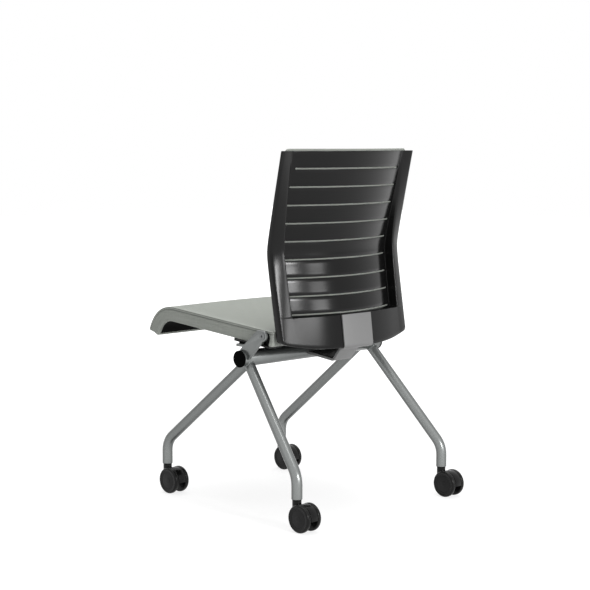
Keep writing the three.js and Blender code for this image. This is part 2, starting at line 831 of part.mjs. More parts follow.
// The seat pan, or the room that the cushion leaves for it
function panLoft(grow, foot) {
  const half = seatHalfWidth - panInset + grow;
  const stations = seatStations(seatRear - panInset + grow, 1 - panNoseGap / noseDrop);
  const last = stations[stations.length - 1];
  last.top.addScaledVector(last.along, grow);
  const high = seatThickness - panThickness - grow;
  return loft(stations.map((station) => [
    seatPoint(station, -half, high), seatPoint(station, half, high),
    seatPoint(station, half, foot), seatPoint(station, -half, foot),
  ]));
}

function hingeNotches() {
  return [-1, 1].flatMap((side) => {
    const low = Math.min(side * hingeNotchX, side * (seatHalfWidth + overrun));
    const high = Math.max(side * hingeNotchX, side * (seatHalfWidth + overrun));
    return [
      rodX(hingeNotchRadius, low, high, 0, 0),
      block(low, high, -hingeNotchRadius, hingeNotchRadius, panFootZ - overrun, 0),
    ];
  });
}

function makeSeatCushion() {
  const stations = seatStations(seatRear - seatEdgeRound, 1);
  const first = stations[0];
  const last = stations[stations.length - 1];
  const rearEnd = { ...first, top: first.top.clone().addScaledVector(first.along, -seatEdgeRound) };
  const noseEnd = { ...last, top: last.top.clone().addScaledVector(last.along, seatEdgeRound) };
  const rows = [seatRing(rearEnd, seatEdgeRound), ...stations.map((station) => seatRing(station, 0)),
    seatRing(noseEnd, seatEdgeRound)];
  return cut(loft(rows), panLoft(fitGap, seatThickness + overrun), ...hingeNotches());
}

const bracketScrewPlaces = [
  ['front', -(bracketFront - bracketLipLength - bracketScrewInset)],
  ['rear', bracketRear - bracketScrewInset],
];

function bracketScrewHole(x, y) {
  const top = panFootZ + bracketScrewBite + fitGap;
  return rodZ(bracketScrewRadius + fitGap, bracketFootZ - overrun, top, x, y);
}

function bracketHoles(side) {
  return bracketScrewPlaces.map(([, y]) => bracketScrewHole(side * bracketScrewX, y));
}

function makeSeatPan() {
  return cut(panLoft(0, seatThickness), ...hingeNotches(), ...bracketHoles(1), ...bracketHoles(-1));
}

function makeSeatBracket() {
  const flange = block(bracketInnerX, bracketOuterX, -bracketFront, bracketRear, bracketFootZ, bracketTopZ);
  const lip = block(bracketInnerX, bracketOuterX, -bracketFront, bracketLipLength - bracketFront,
    bracketFootZ - bracketLipDrop, bracketTopZ);
  const web = block(barrelInnerX, barrelInnerX + webThickness, -webHalfWidth, webHalfWidth, bracketFootZ, 0);
  const barrel = rodX(barrelRadius, barrelInnerX, barrelOuterX, 0, 0);
  const bore = rodX(pivotScrewRadius + fitGap, barrelInnerX - overrun, barrelOuterX + overrun,
    0, 0, smallSides);
  return cut(join(flange, lip, web, barrel), bore, ...bracketHoles(1));
}

function makeBracketScrew(x, y) {
  const seat = bracketFootZ - fitGap;
  return turned([
    [0, seat - bracketScrewHeadHeight], [bracketScrewHeadRadius, seat - bracketScrewHeadHeight],
    [bracketScrewHeadRadius, seat], [bracketScrewRadius, seat],
    [bracketScrewRadius, panFootZ + bracketScrewBite], [0, panFootZ + bracketScrewBite],
  ], smallSides, 'z').translate(x, y, 0);
}

// Casters, each in its own frame: the stem's axis is Z, and the wheels trail towards +Y

const socketFootZ = legFootZ - fitGap - socketFlange;
const neckTopZ = socketFootZ - swivelGap;
const stemBore = stemRadius + fitGap;

function hoodSector(outer) {
  const shape = new THREE.Shape();
  shape.absarc(casterTrail, wheelRadius, outer, degrees(hoodRearAngle), degrees(hoodFrontAngle), false);
  return shape;
}

function makeHood() {
  const inner = hoodRadius - hoodSkin;
  const skin = hoodSector(hoodRadius);
  skin.absarc(casterTrail, wheelRadius, inner, degrees(hoodFrontAngle), degrees(hoodRearAngle), true);
  const shell = sidePiece(skin, -hoodHalfWidth, hoodHalfWidth);
  const web = sidePiece(hoodSector(hoodRadius - hoodSkin / 2), -hoodWebHalf, hoodWebHalf);
  const boss = rodX(hoodBossRadius, -hoodHalfWidth, hoodHalfWidth, casterTrail, wheelRadius);
  const neck = rodZ(neckRadius, neckFootZ, neckTopZ, 0, 0, tubeSides);
  const axleHole = rodX(axleRadius + fitGap, -hoodHalfWidth - overrun, hoodHalfWidth + overrun,
    casterTrail, wheelRadius, smallSides);
  const stemHole = rodZ(stemBore, stemFootZ - fitGap, neckTopZ + overrun, 0, 0);
  return cut(join(shell, web, boss, neck), axleHole, stemHole);
}

function makeWheel() {
  const outerX = wheelInnerX + wheelWidth;
  const bore = axleRadius + fitGap;
  const boreEnd = wheelInnerX + axleBite;
  const rim = wheelRadius - wheelRimInset;
  return turned([
    [0, boreEnd], [bore, boreEnd], [bore, wheelInnerX], [wheelRadius - wheelEdge, wheelInnerX],
    [wheelRadius, wheelInnerX + wheelEdge], [wheelRadius, outerX - 2 * wheelEdge],
    [wheelRadius - wheelEdge, outerX - wheelEdge / 2], [rim, outerX], [rim - wheelDish, outerX - wheelDish],
    [0, outerX - wheelDish],
  ], wheelSides, 'x').translate(0, casterTrail, wheelRadius);
}

function makeAxle() {
  const end = wheelInnerX + axleBite - fitGap;
  return rodX(axleRadius, -end, end, casterTrail, wheelRadius, smallSides);
}

function makeStem() {
  return rodZ(stemRadius, stemFootZ, legFootZ + socketLength - stemRadius, 0, 0);
}

function makeSocket() {
  const sleeve = legRadius - legWall - swivelGap;
  const shoulder = legFootZ - fitGap;
  return turned([
    [stemBore, socketFootZ], [socketRadius, socketFootZ], [socketRadius, shoulder], [sleeve, shoulder],
    [sleeve, legFootZ + socketLength], [stemBore, legFootZ + socketLength], [stemBore, socketFootZ],
  ], smallSides * 2, 'z');
}

function makeCaster(place) {
  const caster = new THREE.Group();
  const wheel = makeWheel();
  caster.add(
    named(`caster_socket_${place}`, makeSocket(), 'black'),
    named(`caster_stem_${place}`, makeStem(), 'steel'),
    named(`caster_hood_${place}`, makeHood(), 'black'),
    named(`caster_axle_${place}`, makeAxle(), 'steel'),
    named(`wheel_${place}_a`, wheel, 'wheel'),
    named(`wheel_${place}_b`, mirrored(wheel), 'wheel'),
  );
  return caster;
}

// The assembly

const sides = [['left', 1], ['right', -1]];

// Adds a piece made for the left side, and its mirror image for the right
function addPair(group, name, geometry, finish) {
  for (const [word, side] of sides) {
    group.add(named(`${name}_${word}`, side > 0 ? geometry : mirrored(geometry), finish));
  }
}

chair.add(named('cross_tube', makeCrossTube(), 'silver'));
addPair(chair, 'tube_cap', makeTubeCap(), 'black');
addPair(chair, 'front_leg', makeLeg(frontLegTopX, frontLegFootX, frontLegFootY, frontLegCornerZ), 'silver');
addPair(chair, 'rear_leg', makeLeg(rearLegTopX, rearLegFootX, rearLegFootY, rearLegCornerZ), 'silver');
addPair(chair, 'side_plate', makeSidePlate(), 'silver');
addPair(chair, 'stop_bumper', makeStopBumper(), 'rubber');
addPair(chair, 'pivot_screw', makePivotScrew(), 'steel');
addPair(chair, 'pivot_washer', makePivotWasher(), 'black');
addPair(chair, 'pivot_nut', makePivotNut(), 'steel');
chair.add(named('back_bar', makeBackBar(), 'plate'));
chair.add(named('back_bar_block', makeBackBarBlock(), 'black'));
chair.add(named('back_shell', makeBackShell(), 'black'));
chair.add(named('back_pad', makeBackPad(), 'fabric'));
backScrewPlaces.forEach((place, i) => {
  chair.add(named(`back_screw_${i + 1}`, makeBackScrew(place), 'steel'));
});

const seat = new THREE.Group();
seat.position.set(0, pivotY, pivotZ);
seat.rotation.x = -seatTilt;
seat.add(named('seat_cushion', makeSeatCushion(), 'fabric'));
seat.add(named('seat_pan', makeSeatPan(), 'black'));
addPair(seat, 'seat_bracket', makeSeatBracket(), 'silver');
for (const [end, y] of bracketScrewPlaces) {
  addPair(seat, `bracket_screw_${end}`, makeBracketScrew(bracketScrewX, y), 'steel');
}
chair.add(seat);

const feet = [['front', frontLegFootX, frontLegFootY], ['rear', rearLegFootX, rearLegFootY]];
for (const [word, side] of sides) {
  for (const [end, x, y] of feet) {
    const caster = makeCaster(`${end}_${word}`);
    caster.position.set(side * x, y, 0);
    chair.add(caster);
  }
}

// The origin goes to the middle of the chair's outer box, on the floor
chair.updateMatrixWorld(true);
const outerBox = new THREE.Box3().setFromObject(chair, true);
chair.position.y = -(outerBox.min.y + outerBox.max.y) / 2;

export default chair;
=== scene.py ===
# %% [markdown]
# # A nesting chair
# This chair rolls into the next one: its seat flips up on two pivots, and its legs stand on twin-wheel
# casters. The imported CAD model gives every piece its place. This file dresses it, piece by piece: fine
# metal work first, then the slotted back, the upholstery and the casters.

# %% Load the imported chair
import json
import math

import bmesh
import bpy
import numpy as np
from mathutils import Matrix, Vector
from mathutils.bvhtree import BVHTree


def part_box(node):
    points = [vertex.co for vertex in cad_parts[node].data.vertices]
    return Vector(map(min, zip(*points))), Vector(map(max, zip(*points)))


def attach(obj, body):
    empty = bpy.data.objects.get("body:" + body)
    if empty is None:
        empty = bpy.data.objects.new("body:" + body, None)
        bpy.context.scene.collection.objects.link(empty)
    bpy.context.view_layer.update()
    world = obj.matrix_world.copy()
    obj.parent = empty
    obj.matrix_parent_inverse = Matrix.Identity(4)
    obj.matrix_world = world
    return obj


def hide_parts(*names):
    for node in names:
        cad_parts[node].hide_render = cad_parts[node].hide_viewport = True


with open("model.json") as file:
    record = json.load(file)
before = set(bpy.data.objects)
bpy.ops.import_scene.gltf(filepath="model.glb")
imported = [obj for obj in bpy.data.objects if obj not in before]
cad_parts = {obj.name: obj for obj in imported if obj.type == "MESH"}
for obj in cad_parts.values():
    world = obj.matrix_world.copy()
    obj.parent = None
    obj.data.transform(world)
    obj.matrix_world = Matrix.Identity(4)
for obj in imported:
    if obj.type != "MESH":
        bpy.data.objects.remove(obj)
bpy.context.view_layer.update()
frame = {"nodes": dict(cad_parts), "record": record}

# %% [markdown]
# The chair was drawn in millimetres with its front legs and its back set out from one zero line, and then
# moved so that its outer box is centred. The cross tube tells how far it was moved. All sizes below are the
# drawing's own, and one helper turns them into metres in the chair's place.

# %% The drawing's sizes in the chair's place
MM = 0.001
TUBE_Y = 48
TUBE_Z = 362
TUBE_RADIUS = 19.05
tube_low, tube_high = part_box("cross_tube")
DRAWING_SHIFT = (tube_low.y + tube_high.y) / 2 / MM - TUBE_Y


def in_metres(points):
    """Points of the drawing, in mm, become points of the chair, in metres."""
    return (np.array(points, float).reshape(-1, 3) + (0, DRAWING_SHIFT, 0)) * MM


print("the drawing lies", round(DRAWING_SHIFT, 3), "mm from the chair's middle")

# %% [markdown]
# The picture was taken from behind the chair's left side, a little above the seat, with a long lens. A
# camera needs three directions: right, up, and back towards the photographer. They come from two angles and
# a slight roll, and become the columns of its matrix.

# %% Camera
VIEW_AZIMUTH = math.radians(134.72)
VIEW_ELEVATION = math.radians(5.67)
VIEW_ROLL = math.radians(0.10)
EYE_IN_DRAWING = (2676.454, 2644.613, 863.900)
LENS = 95.34

back = Vector((math.sin(VIEW_AZIMUTH) * math.cos(VIEW_ELEVATION),
               -math.cos(VIEW_AZIMUTH) * math.cos(VIEW_ELEVATION), math.sin(VIEW_ELEVATION)))
level_right = Vector((0, 0, 1)).cross(back).normalized()
level_up = back.cross(level_right)
right = level_right * math.cos(VIEW_ROLL) + level_up * math.sin(VIEW_ROLL)
up = level_up * math.cos(VIEW_ROLL) - level_right * math.sin(VIEW_ROLL)

camera_data = bpy.data.cameras.new("camera")
camera_data.lens = LENS
camera_data.sensor_fit = "HORIZONTAL"
camera_data.sensor_width = 36
camera = bpy.data.objects.new("camera", camera_data)
bpy.context.scene.collection.objects.link(camera)
camera.matrix_world = Matrix.Translation(Vector(in_metres([EYE_IN_DRAWING])[0])) @ Matrix(
    (right, up, back)).transposed().to_4x4()
bpy.context.scene.camera = camera
print("the camera stands at", [round(v, 2) for v in camera.location])

# %% [markdown]
# ## Writing node trees
# Materials and Geometry Nodes are both trees of nodes. Typing each node and link by hand is slow to read, so
# two small classes help. A Signal stands for one output socket, and arithmetic on it adds Math nodes. A Graph
# adds any other node: its settings come first, then the values or links of its sockets.

# %% Signals and graphs
class Signal:
    """One output socket. Arithmetic on it adds Math nodes."""

    def __init__(self, graph, port):
        self.graph, self.port = graph, port

    def __add__(self, other):
        return self.graph.math("ADD", self, other)

    def __sub__(self, other):
        return self.graph.math("SUBTRACT", self, other)

    def __rsub__(self, other):
        return self.graph.math("SUBTRACT", other, self)

    def __mul__(self, other):
        return self.graph.math("MULTIPLY", self, other)


class Graph:
    """A node tree that is written as Python."""

    def __init__(self, tree):
        self.tree = tree

    def add(self, kind, settings=(), sockets=(), output=0):
        """Adds a node with its settings, then its socket values or links, and gives one of its outputs."""
        node = self.tree.nodes.new(kind)
        for name, value in dict(settings).items():
            setattr(node, name, value)
        for name, value in dict(sockets).items():
            if isinstance(value, Signal):
                self.tree.links.new(value.port, node.inputs[name])
            else:
                node.inputs[name].default_value = value
        return Signal(self, node.outputs[output]) if node.outputs else None

    def math(self, operation, *values):
        """A Math node on the given values."""
        return self.add("ShaderNodeMath", {"operation": operation}, dict(enumerate(values)))


# %% [markdown]
# A finish is a material, mostly on one Principled shader. Its patterns lie in the object's own coordinates,
# in metres, so a grain has its real size in mm. Pieces also carry an edge mark, a number that is 1 on a sharp
# edge and 0 on a flat face, and the finishes use it to show handling where hands and other chairs touch.

# %% Finishes: the common part
class Finish(Graph):
    """A material whose patterns are sized in mm."""

    def __init__(self, name):
        self.material = bpy.data.materials.new(name)
        self.material.use_nodes = True
        super().__init__(self.material.node_tree)
        self.tree.nodes.clear()
        self.place = self.add("ShaderNodeTexCoord", output="Object")
        self.edge = self.mark("edge")

    def mark(self, name):
        """A number that the mesh stores for its points."""
        return self.add("ShaderNodeAttribute", {"attribute_name": name}, output="Fac")

    def noise(self, grain, detail=2.0, roughness=0.5):
        """Soft random spots of about the given size, in mm."""
        return self.add("ShaderNodeTexNoise", {}, {"Vector": self.place, "Scale": 1 / (grain * MM),
                                                   "Detail": detail, "Roughness": roughness})

    def between(self, share, low, high):
        """Spreads a number from 0 to 1 over a range."""
        return share * (high - low) + low

    def window(self, value, low, high):
        """0 below low, 1 above high, and smooth between."""
        return self.add("ShaderNodeMapRange", {"interpolation_type": "SMOOTHSTEP"},
                        {"Value": value, "From Min": low, "From Max": high})

    def mixed(self, share, first, second):
        """A colour between two colours."""
        return self.add("ShaderNodeMix", {"data_type": "RGBA"}, {0: share, 6: first, 7: second}, output=2)

    def bumped(self, height, depth):
        """A normal from a height between 0 and 1 that stands for a depth in mm."""
        return self.add("ShaderNodeBump", {}, {"Strength": 1.0, "Distance": depth * MM, "Height": height})

    def shader(self, **sockets):
        """One Principled shader. Underscores in a socket's name stand for spaces."""
        named = {name.replace("_", " "): value for name, value in sockets.items()}
        return self.add("ShaderNodeBsdfPrincipled", {}, named)

    def ended(self, shader):
        """Ends the material with a shader."""
        self.add("ShaderNodeOutputMaterial", {}, {"Surface": shader})
        return self.material

    def surface(self, **sockets):
        """Ends the material with one Principled shader."""
        return self.ended(self.shader(**sockets))


def grey(red, green=None, blue=None):
    """A colour from 0 to 255 as a screen shows it, turned into the light that a shader counts in."""
    shades = (red, green if green is not None else red, blue if blue is not None else red)
    linear = [(s / 255 / 12.92) if s <= 10 else ((s / 255 + 0.055) / 1.055) ** 2.4 for s in shades]
    return (*linear, 1.0)


FINISHES = {}

# %% [markdown]
# The legs, the cross tube and the side plates wear a silver metallic paint: tiny aluminium flakes in a clear
# binder, sprayed over steel. It is between a metal and a paint, so Metallic stays under 1. Fine noise gives
# the flake, a larger one the faint clouds of a sprayed coat, and the bump is its orange peel. The colour is
# made darker where the paint is seen at a slant. This is partly the real flop of the flat flakes and partly
# painted shade, which stands in for the dark reflections at the edges of every tube.

# %% Silver paint
def make_silver_paint():
    paint = Finish("silver_paint")
    flake = paint.window(paint.noise(0.35, detail=1.0), 0.3, 0.7)
    cloud = paint.noise(120, detail=2.0)
    rubbed = paint.window(paint.edge, 0.35, 0.9) * paint.window(paint.noise(9, detail=4.0), 0.45, 0.75)
    slant_for_painted_shade = paint.add("ShaderNodeLayerWeight", {}, {"Blend": 0.5}, output="Facing")
    face_on = paint.mixed(paint.between(flake, 0.35, 0.65) + paint.between(cloud, -0.08, 0.08),
                          grey(136, 139, 138), grey(149, 152, 151))
    # Darker at a slant: partly the flakes' real flop, partly painted shade for the dark reflections at tube
    # edges.
    body = paint.mixed(paint.window(slant_for_painted_shade, 0.02, 0.6), face_on, grey(94, 97, 96))
    return paint.surface(
        Base_Color=paint.mixed(rubbed * 0.7, body, grey(182, 184, 183)), Metallic=0.5,
        Roughness=paint.between(cloud, 0.24, 0.29) + flake * 0.04 - rubbed * 0.08,
        Normal=paint.bumped(flake, 0.004), Coat_Weight=0.15, Coat_Roughness=0.2)


FINISHES["silver_paint"] = make_silver_paint()

# %% [markdown]
# The back bar has the same silver as a flatter coat. Its broad face is what the eye rests on from behind, so
# it has no gloss coat, a coarser texture and a slightly warmer grey.

# %% Bar paint
def make_bar_paint():
    paint = Finish("bar_paint")
    grain = paint.noise(0.8, detail=3.0, roughness=0.6)
    cloud = paint.noise(45, detail=3.0)
    rubbed = paint.window(paint.edge, 0.3, 0.85)
    body = paint.mixed(paint.between(grain, 0.2, 0.8) + paint.between(cloud, -0.15, 0.15),
                       grey(121), grey(134))
    return paint.surface(
        Base_Color=paint.mixed(rubbed, body, grey(188)), Metallic=0.45,
        Roughness=paint.between(grain, 0.42, 0.56) - rubbed * 0.1, Normal=paint.bumped(grain, 0.012))


FINISHES["bar_paint"] = make_bar_paint()

# %% [markdown]
# The hinge brackets under the seat have a black powder coat: a thick matt skin with a pebbled surface that is
# a little thinner and greyer where it runs over an edge. The black is partly painted shade: it stands in for
# the shade that lies on the brackets under the seat's rear.

# %% Black powder coat
def make_black_paint_and_shade():
    coat = Finish("black_paint")
    pebble = coat.noise(1.1, detail=1.5)
    thin = coat.window(coat.edge, 0.3, 0.9)
    body = coat.mixed(coat.noise(40), grey(24), grey(31))
    return coat.surface(
        Base_Color=coat.mixed(thin * 0.4, body, grey(70)), Metallic=0.0,
        Roughness=coat.between(pebble, 0.42, 0.55), Normal=coat.bumped(pebble, 0.03),
        Specular_IOR_Level=0.25)


FINISHES["black_paint"] = make_black_paint_and_shade()

# %% [markdown]
# The back shell, the seat pan and the hoods are moulded nylon. The mould is etched, which leaves a very fine
# even grain and a satin gloss. Edges that are touched often turn a little shinier. The pan's mould is rough
# instead, and its mesh says so with a matt mark.

# %% Black plastic
def make_black_plastic():
    plastic = Finish("black_plastic")
    grain = plastic.noise(0.55, detail=2.0, roughness=0.6)
    cloud = plastic.noise(80, detail=2.0)
    touched = plastic.window(plastic.edge, 0.3, 0.9)
    scuff = plastic.window(plastic.noise(14, detail=6.0, roughness=0.7), 0.62, 0.8)
    body = plastic.mixed(cloud, grey(11), grey(16))
    matt = plastic.mark("matt")
    satin = plastic.shader(
        Base_Color=plastic.mixed(touched * 0.4 + scuff * 0.1, body, grey(52, 52, 51)), Metallic=0.0,
        Roughness=plastic.between(cloud, 0.15, 0.19) + grain * 0.04 + scuff * 0.05 - touched * 0.03,
        Normal=plastic.bumped(grain, 0.004), Specular_IOR_Level=0.19)
    dull = plastic.shader(
        Base_Color=body, Metallic=0.0, Roughness=plastic.between(grain, 0.55, 0.7),
        Normal=plastic.bumped(grain, 0.02), Specular_IOR_Level=0.03)
    return plastic.ended(plastic.add("ShaderNodeMixShader", {}, {0: matt, 1: satin, 2: dull}))


FINISHES["black_plastic"] = make_black_plastic()

# %% [markdown]
# A caster wheel is one hard nylon moulding with a soft tread. The tread scuffs on the floor and turns grey
# and dull. The mesh carries a tread mark that says where, as it is easier to count from the wheel's radius.
# The tread is also coloured darker than the face. This is partly its own colour and partly painted shade,
# which tones down the bright reflections on its rounded surface.

# %% Wheel plastic
def make_wheel_plastic():
    plastic = Finish("wheel_plastic")
    tread = plastic.mark("tread")
    grain = plastic.noise(0.7, detail=3.0)
    scuff = plastic.window(plastic.noise(5, detail=5.0, roughness=0.7), 0.4, 0.7) * tread
    touched = plastic.window(plastic.edge, 0.3, 0.9)
    face = plastic.mixed(plastic.noise(22), grey(14), grey(20))
    # Darker tread: partly its own colour, partly painted shade against the reflections on its rounded
    # surface.
    body = plastic.mixed(tread * 0.8, face, grey(4))
    return plastic.surface(
        Base_Color=plastic.mixed(scuff * 0.12 + touched * 0.25, body, grey(78, 77, 75)), Metallic=0.0,
        Roughness=plastic.between(grain, 0.2, 0.28) + scuff * 0.2, Normal=plastic.bumped(grain, 0.006),
        Specular_IOR_Level=0.2)


FINISHES["wheel_plastic"] = make_wheel_plastic()

# %% [markdown]
# The tube's caps and the stop bumpers are rubber: nearly black, dull, and a little dusty in patches.

# %% Black rubber
def make_black_rubber():
    rubber = Finish("black_rubber")
    grain = rubber.noise(0.9, detail=4.0, roughness=0.65)
    dust = rubber.window(rubber.noise(12, detail=5.0), 0.5, 0.8)
    touched = rubber.window(rubber.edge, 0.3, 0.9)
    return rubber.surface(
        Base_Color=rubber.mixed(dust * 0.08 + touched * 0.15, grey(2), grey(40, 40, 39)),
        Metallic=0.0, Roughness=rubber.between(grain, 0.6, 0.78), Normal=rubber.bumped(grain, 0.02),
        Specular_IOR_Level=0.02)


FINISHES["black_rubber"] = make_black_rubber()

# %% [markdown]
# Screws, axles and stems are steel with a thin zinc coat: bright, slightly blue, with fine turning marks.

# %% Zinc steel
def make_zinc_steel():
    steel = Finish("zinc_steel")
    marks = steel.noise(0.35, detail=2.0)
    stain = steel.window(steel.noise(3.5, detail=4.0), 0.45, 0.8)
    return steel.surface(
        Base_Color=steel.mixed(stain * 0.6, grey(110, 112, 112), grey(88, 88, 87)), Metallic=1.0,
        Roughness=steel.between(marks, 0.24, 0.38) + stain * 0.12, Normal=steel.bumped(marks, 0.006))


FINISHES["zinc_steel"] = make_zinc_steel()

# %% [markdown]
# The seat and the pad wear a flat woven polyester, grey with a green tint. Every thread goes over one and
# under the next. The cloth's UV map counts in metres along the two threads, so the weave bends with the
# cushion.

# %% Seat fabric
THREAD_PITCH = 1.1
THREAD_RUN = 30


def make_seat_fabric():
    cloth = Finish("seat_fabric")
    chart = cloth.add("ShaderNodeUVMap", {"uv_map": "cloth"})
    across = cloth.add("ShaderNodeSeparateXYZ", {}, {0: chart}, output=0)
    along = cloth.add("ShaderNodeSeparateXYZ", {}, {0: chart}, output=1)

    def wave(place):
        return cloth.math("SINE", place * (math.pi / (THREAD_PITCH * MM)))

    checker = wave(across) * wave(along)
    over = cloth.window(checker, -0.6, 0.6)
    ribs = cloth.math("ABSOLUTE", wave(across)) * over + cloth.math("ABSOLUTE", wave(along)) * (1 - over)

    def streaks(side, length):
        stretched = cloth.add("ShaderNodeMapping", {"vector_type": "POINT"}, {"Vector": chart, "Scale": (
            (1 / (side * MM), 1 / (length * MM), 1.0))})
        return cloth.add("ShaderNodeTexNoise", {}, {"Vector": stretched, "Scale": 1.0, "Detail": 2.0})

    crossing = streaks(THREAD_PITCH, THREAD_RUN) * (1 - over) + streaks(THREAD_RUN, THREAD_PITCH) * over
    thread = cloth.window(crossing, 0.3, 0.7)
    cloud = cloth.noise(70, detail=3.0)
    painted_seam_shade = cloth.mark("painted_seam_shade")
    light = cloth.mixed(cloth.between(thread, 0.15, 0.85) + cloth.between(cloud, -0.12, 0.12),
                        grey(160, 164, 157), grey(186, 190, 183))
    woven = cloth.mixed(cloth.between(ribs, 0.28, 0.0), light, grey(118, 122, 116))
    # The seam mark paints shade into the seam grooves: the cloth is darker there.
    return cloth.surface(
        Base_Color=cloth.mixed(painted_seam_shade * 0.9, woven, grey(48, 51, 47)), Metallic=0.0,
        Roughness=cloth.between(ribs, 0.95, 0.8), Normal=cloth.bumped(ribs, 0.25), Sheen_Weight=0.2,
        Sheen_Roughness=0.5, Specular_IOR_Level=0.2)


FINISHES["seat_fabric"] = make_seat_fabric()

# %% [markdown]
# The CAD nodes that stay, such as nuts, stems and axles, get these finishes at once through their objects'
# material slots. The record says which finish each node has.

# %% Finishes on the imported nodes
for subpart in frame["record"]["subparts"]:
    packed = frame["nodes"][subpart["node"]]
    if not packed.material_slots:
        packed.data.materials.append(None)
    for held in packed.material_slots:
        held.material = FINISHES[subpart["material_slot"]]
print("finishes:", ", ".join(sorted(FINISHES)))

# %% [markdown]
# ## Making solids
# A piece starts as points in the drawing and faces between them. Its doubles are merged, its faces are
# turned outwards, and its smooth faces are split at sharp edges. Then the edge mark is counted: how far the
# surface turns at the points of each narrow face. The wide flat faces beside an edge stay unmarked.

# %% Helpers for meshes
def new_piece(name, mesh):
    """Puts a mesh in the scene as a piece at the origin."""
    mesh.name = name
    piece = bpy.data.objects.new(name, mesh)
    bpy.context.scene.collection.objects.link(piece)
    return piece


def solid(name, points, faces):
    """A piece from points in mm and faces."""
    mesh = bpy.data.meshes.new(name)
    mesh.from_pydata(in_metres(points).tolist(), [], faces)
    piece = new_piece(name, mesh)
    outward(piece)
    return piece


def outward(piece):
    """Merges doubles and turns all faces out."""
    work = bmesh.new()
    work.from_mesh(piece.data)
    bmesh.ops.remove_doubles(work, verts=work.verts, dist=0.00001)
    bmesh.ops.dissolve_degenerate(work, edges=work.edges, dist=0.000005)
    bmesh.ops.recalc_face_normals(work, faces=work.faces)
    work.to_mesh(piece.data)
    work.free()


def baked(piece):
    """Turns a piece and its modifiers into a plain mesh."""
    graph = bpy.context.evaluated_depsgraph_get()
    mesh = bpy.data.meshes.new_from_object(piece.evaluated_get(graph), depsgraph=graph)
    piece.modifiers.clear()
    mesh.name = piece.name
    piece.data = mesh
    return piece


def marked(piece, name, values):
    """Stores one number per point on the mesh, for the materials to read."""
    mark = piece.data.attributes.get(name) or piece.data.attributes.new(name, "FLOAT", "POINT")
    mark.data.foreach_set("value", np.asarray(values, np.float32))


EDGE_STRIP = 1.3
FULL_EDGE_TURN = math.radians(40)


def shaded(piece, sharp):
    """Smooth faces between sharp edges, and the edge mark on the narrow faces that round an edge."""
    piece.data.shade_smooth()
    piece.data.set_sharp_from_angle(angle=math.radians(sharp))
    work = bmesh.new()
    work.from_mesh(piece.data)
    turns = [max((edge.calc_face_angle(0) for edge in vert.link_edges), default=0) for vert in work.verts]
    marks = []
    for face in work.faces:
        narrow = 2 * face.calc_area() / face.calc_perimeter() < EDGE_STRIP * MM
        marks.extend(turns[vert.index] / FULL_EDGE_TURN if narrow else 0 for vert in face.verts)
    work.free()
    mark = piece.data.attributes.new("edge", "FLOAT", "CORNER")
    mark.data.foreach_set("value", np.clip(np.array(marks, np.float32), 0, 1))
    return piece


def dressed(piece, slot, body, *replaced, sharp=35):
    """Gives a finished piece its shading, its finish, the body it rides on and the nodes it stands for."""
    shaded(piece, sharp)
    piece.data.materials.clear()
    piece.data.materials.append(FINISHES[slot])
    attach(piece, body)
    if replaced:
        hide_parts(*replaced)
    print("made", piece.name, "with", len(piece.data.polygons), "faces")
    return piece


# %% [markdown]
# Most metal parts of the chair are plates and bars, cut and bent from flat steel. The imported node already
# has their outline. A copy of it is merged, its flat faces are joined, and a Bevel modifier rounds its edges
# by a millimetre or less, as a press and a coat of paint leave them. The bevel is what catches the light.

# %% Plates and bars from their nodes
FLAT_ANGLE = math.radians(1.0)
PACKED_SHADING = ("custom_normal", "sharp_face", "sharp_edge")


def refined(node, name, rounding, angle=30):
    """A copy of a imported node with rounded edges."""
    piece = new_piece(name, frame["nodes"][node].data.copy())
    for layer in [a for a in piece.data.attributes if a.name in PACKED_SHADING]:
        piece.data.attributes.remove(layer)
    outward(piece)
    work = bmesh.new()
    work.from_mesh(piece.data)
    bmesh.ops.dissolve_limit(work, angle_limit=FLAT_ANGLE, verts=work.verts, edges=work.edges)
    work.to_mesh(piece.data)
    work.free()
    return bevelled(piece, rounding, 3, angle)


def bevelled(piece, width, segments, angle):
    """Rounds the edges at which a piece turns by more than an angle."""
    bevel = piece.modifiers.new("bevel", "BEVEL")
    bevel.width, bevel.segments = width * MM, segments
    bevel.limit_method, bevel.angle_limit = "ANGLE", math.radians(angle)
    return baked(piece)


# %% [markdown]
# Round pieces are turned: a profile of radii and heights goes round an axis. Real turned and moulded pieces
# have no knife edges, so the profile's corners are rounded first by short curves.

# %% Turned pieces
def rounded(corners, reaches, steps=4, closed=False):
    """Rounds the corners of a line. A reach is how far from its corner a curve starts, in mm."""
    corners = [np.array(corner, float) for corner in corners]
    reaches = [reaches] * len(corners) if isinstance(reaches, (int, float)) else reaches
    line = []
    for i, (corner, reach) in enumerate(zip(corners, reaches)):
        if reach == 0 or (not closed and i in (0, len(corners) - 1)):
            line.append(corner)
            continue
        behind = corners[i - 1] - corner
        ahead = corners[(i + 1) % len(corners)] - corner
        cut = min(reach, 0.45 * np.linalg.norm(behind), 0.45 * np.linalg.norm(ahead))
        start = corner + behind / np.linalg.norm(behind) * cut
        end = corner + ahead / np.linalg.norm(ahead) * cut
        for t in np.linspace(0, 1, steps + 1):
            line.append((1 - t) ** 2 * start + 2 * t * (1 - t) * corner + t * t * end)
    return line


def ring_faces(rings, sides, closed=False):
    """Quads from each ring of points to the next. A closed row of rings also joins its last to its first."""
    faces = []
    for i in range(rings if closed else rings - 1):
        here, there = i * sides, (i + 1) % rings * sides
        for k in range(sides):
            after = (k + 1) % sides
            faces.append((here + k, here + after, there + after, there + k))
    return faces


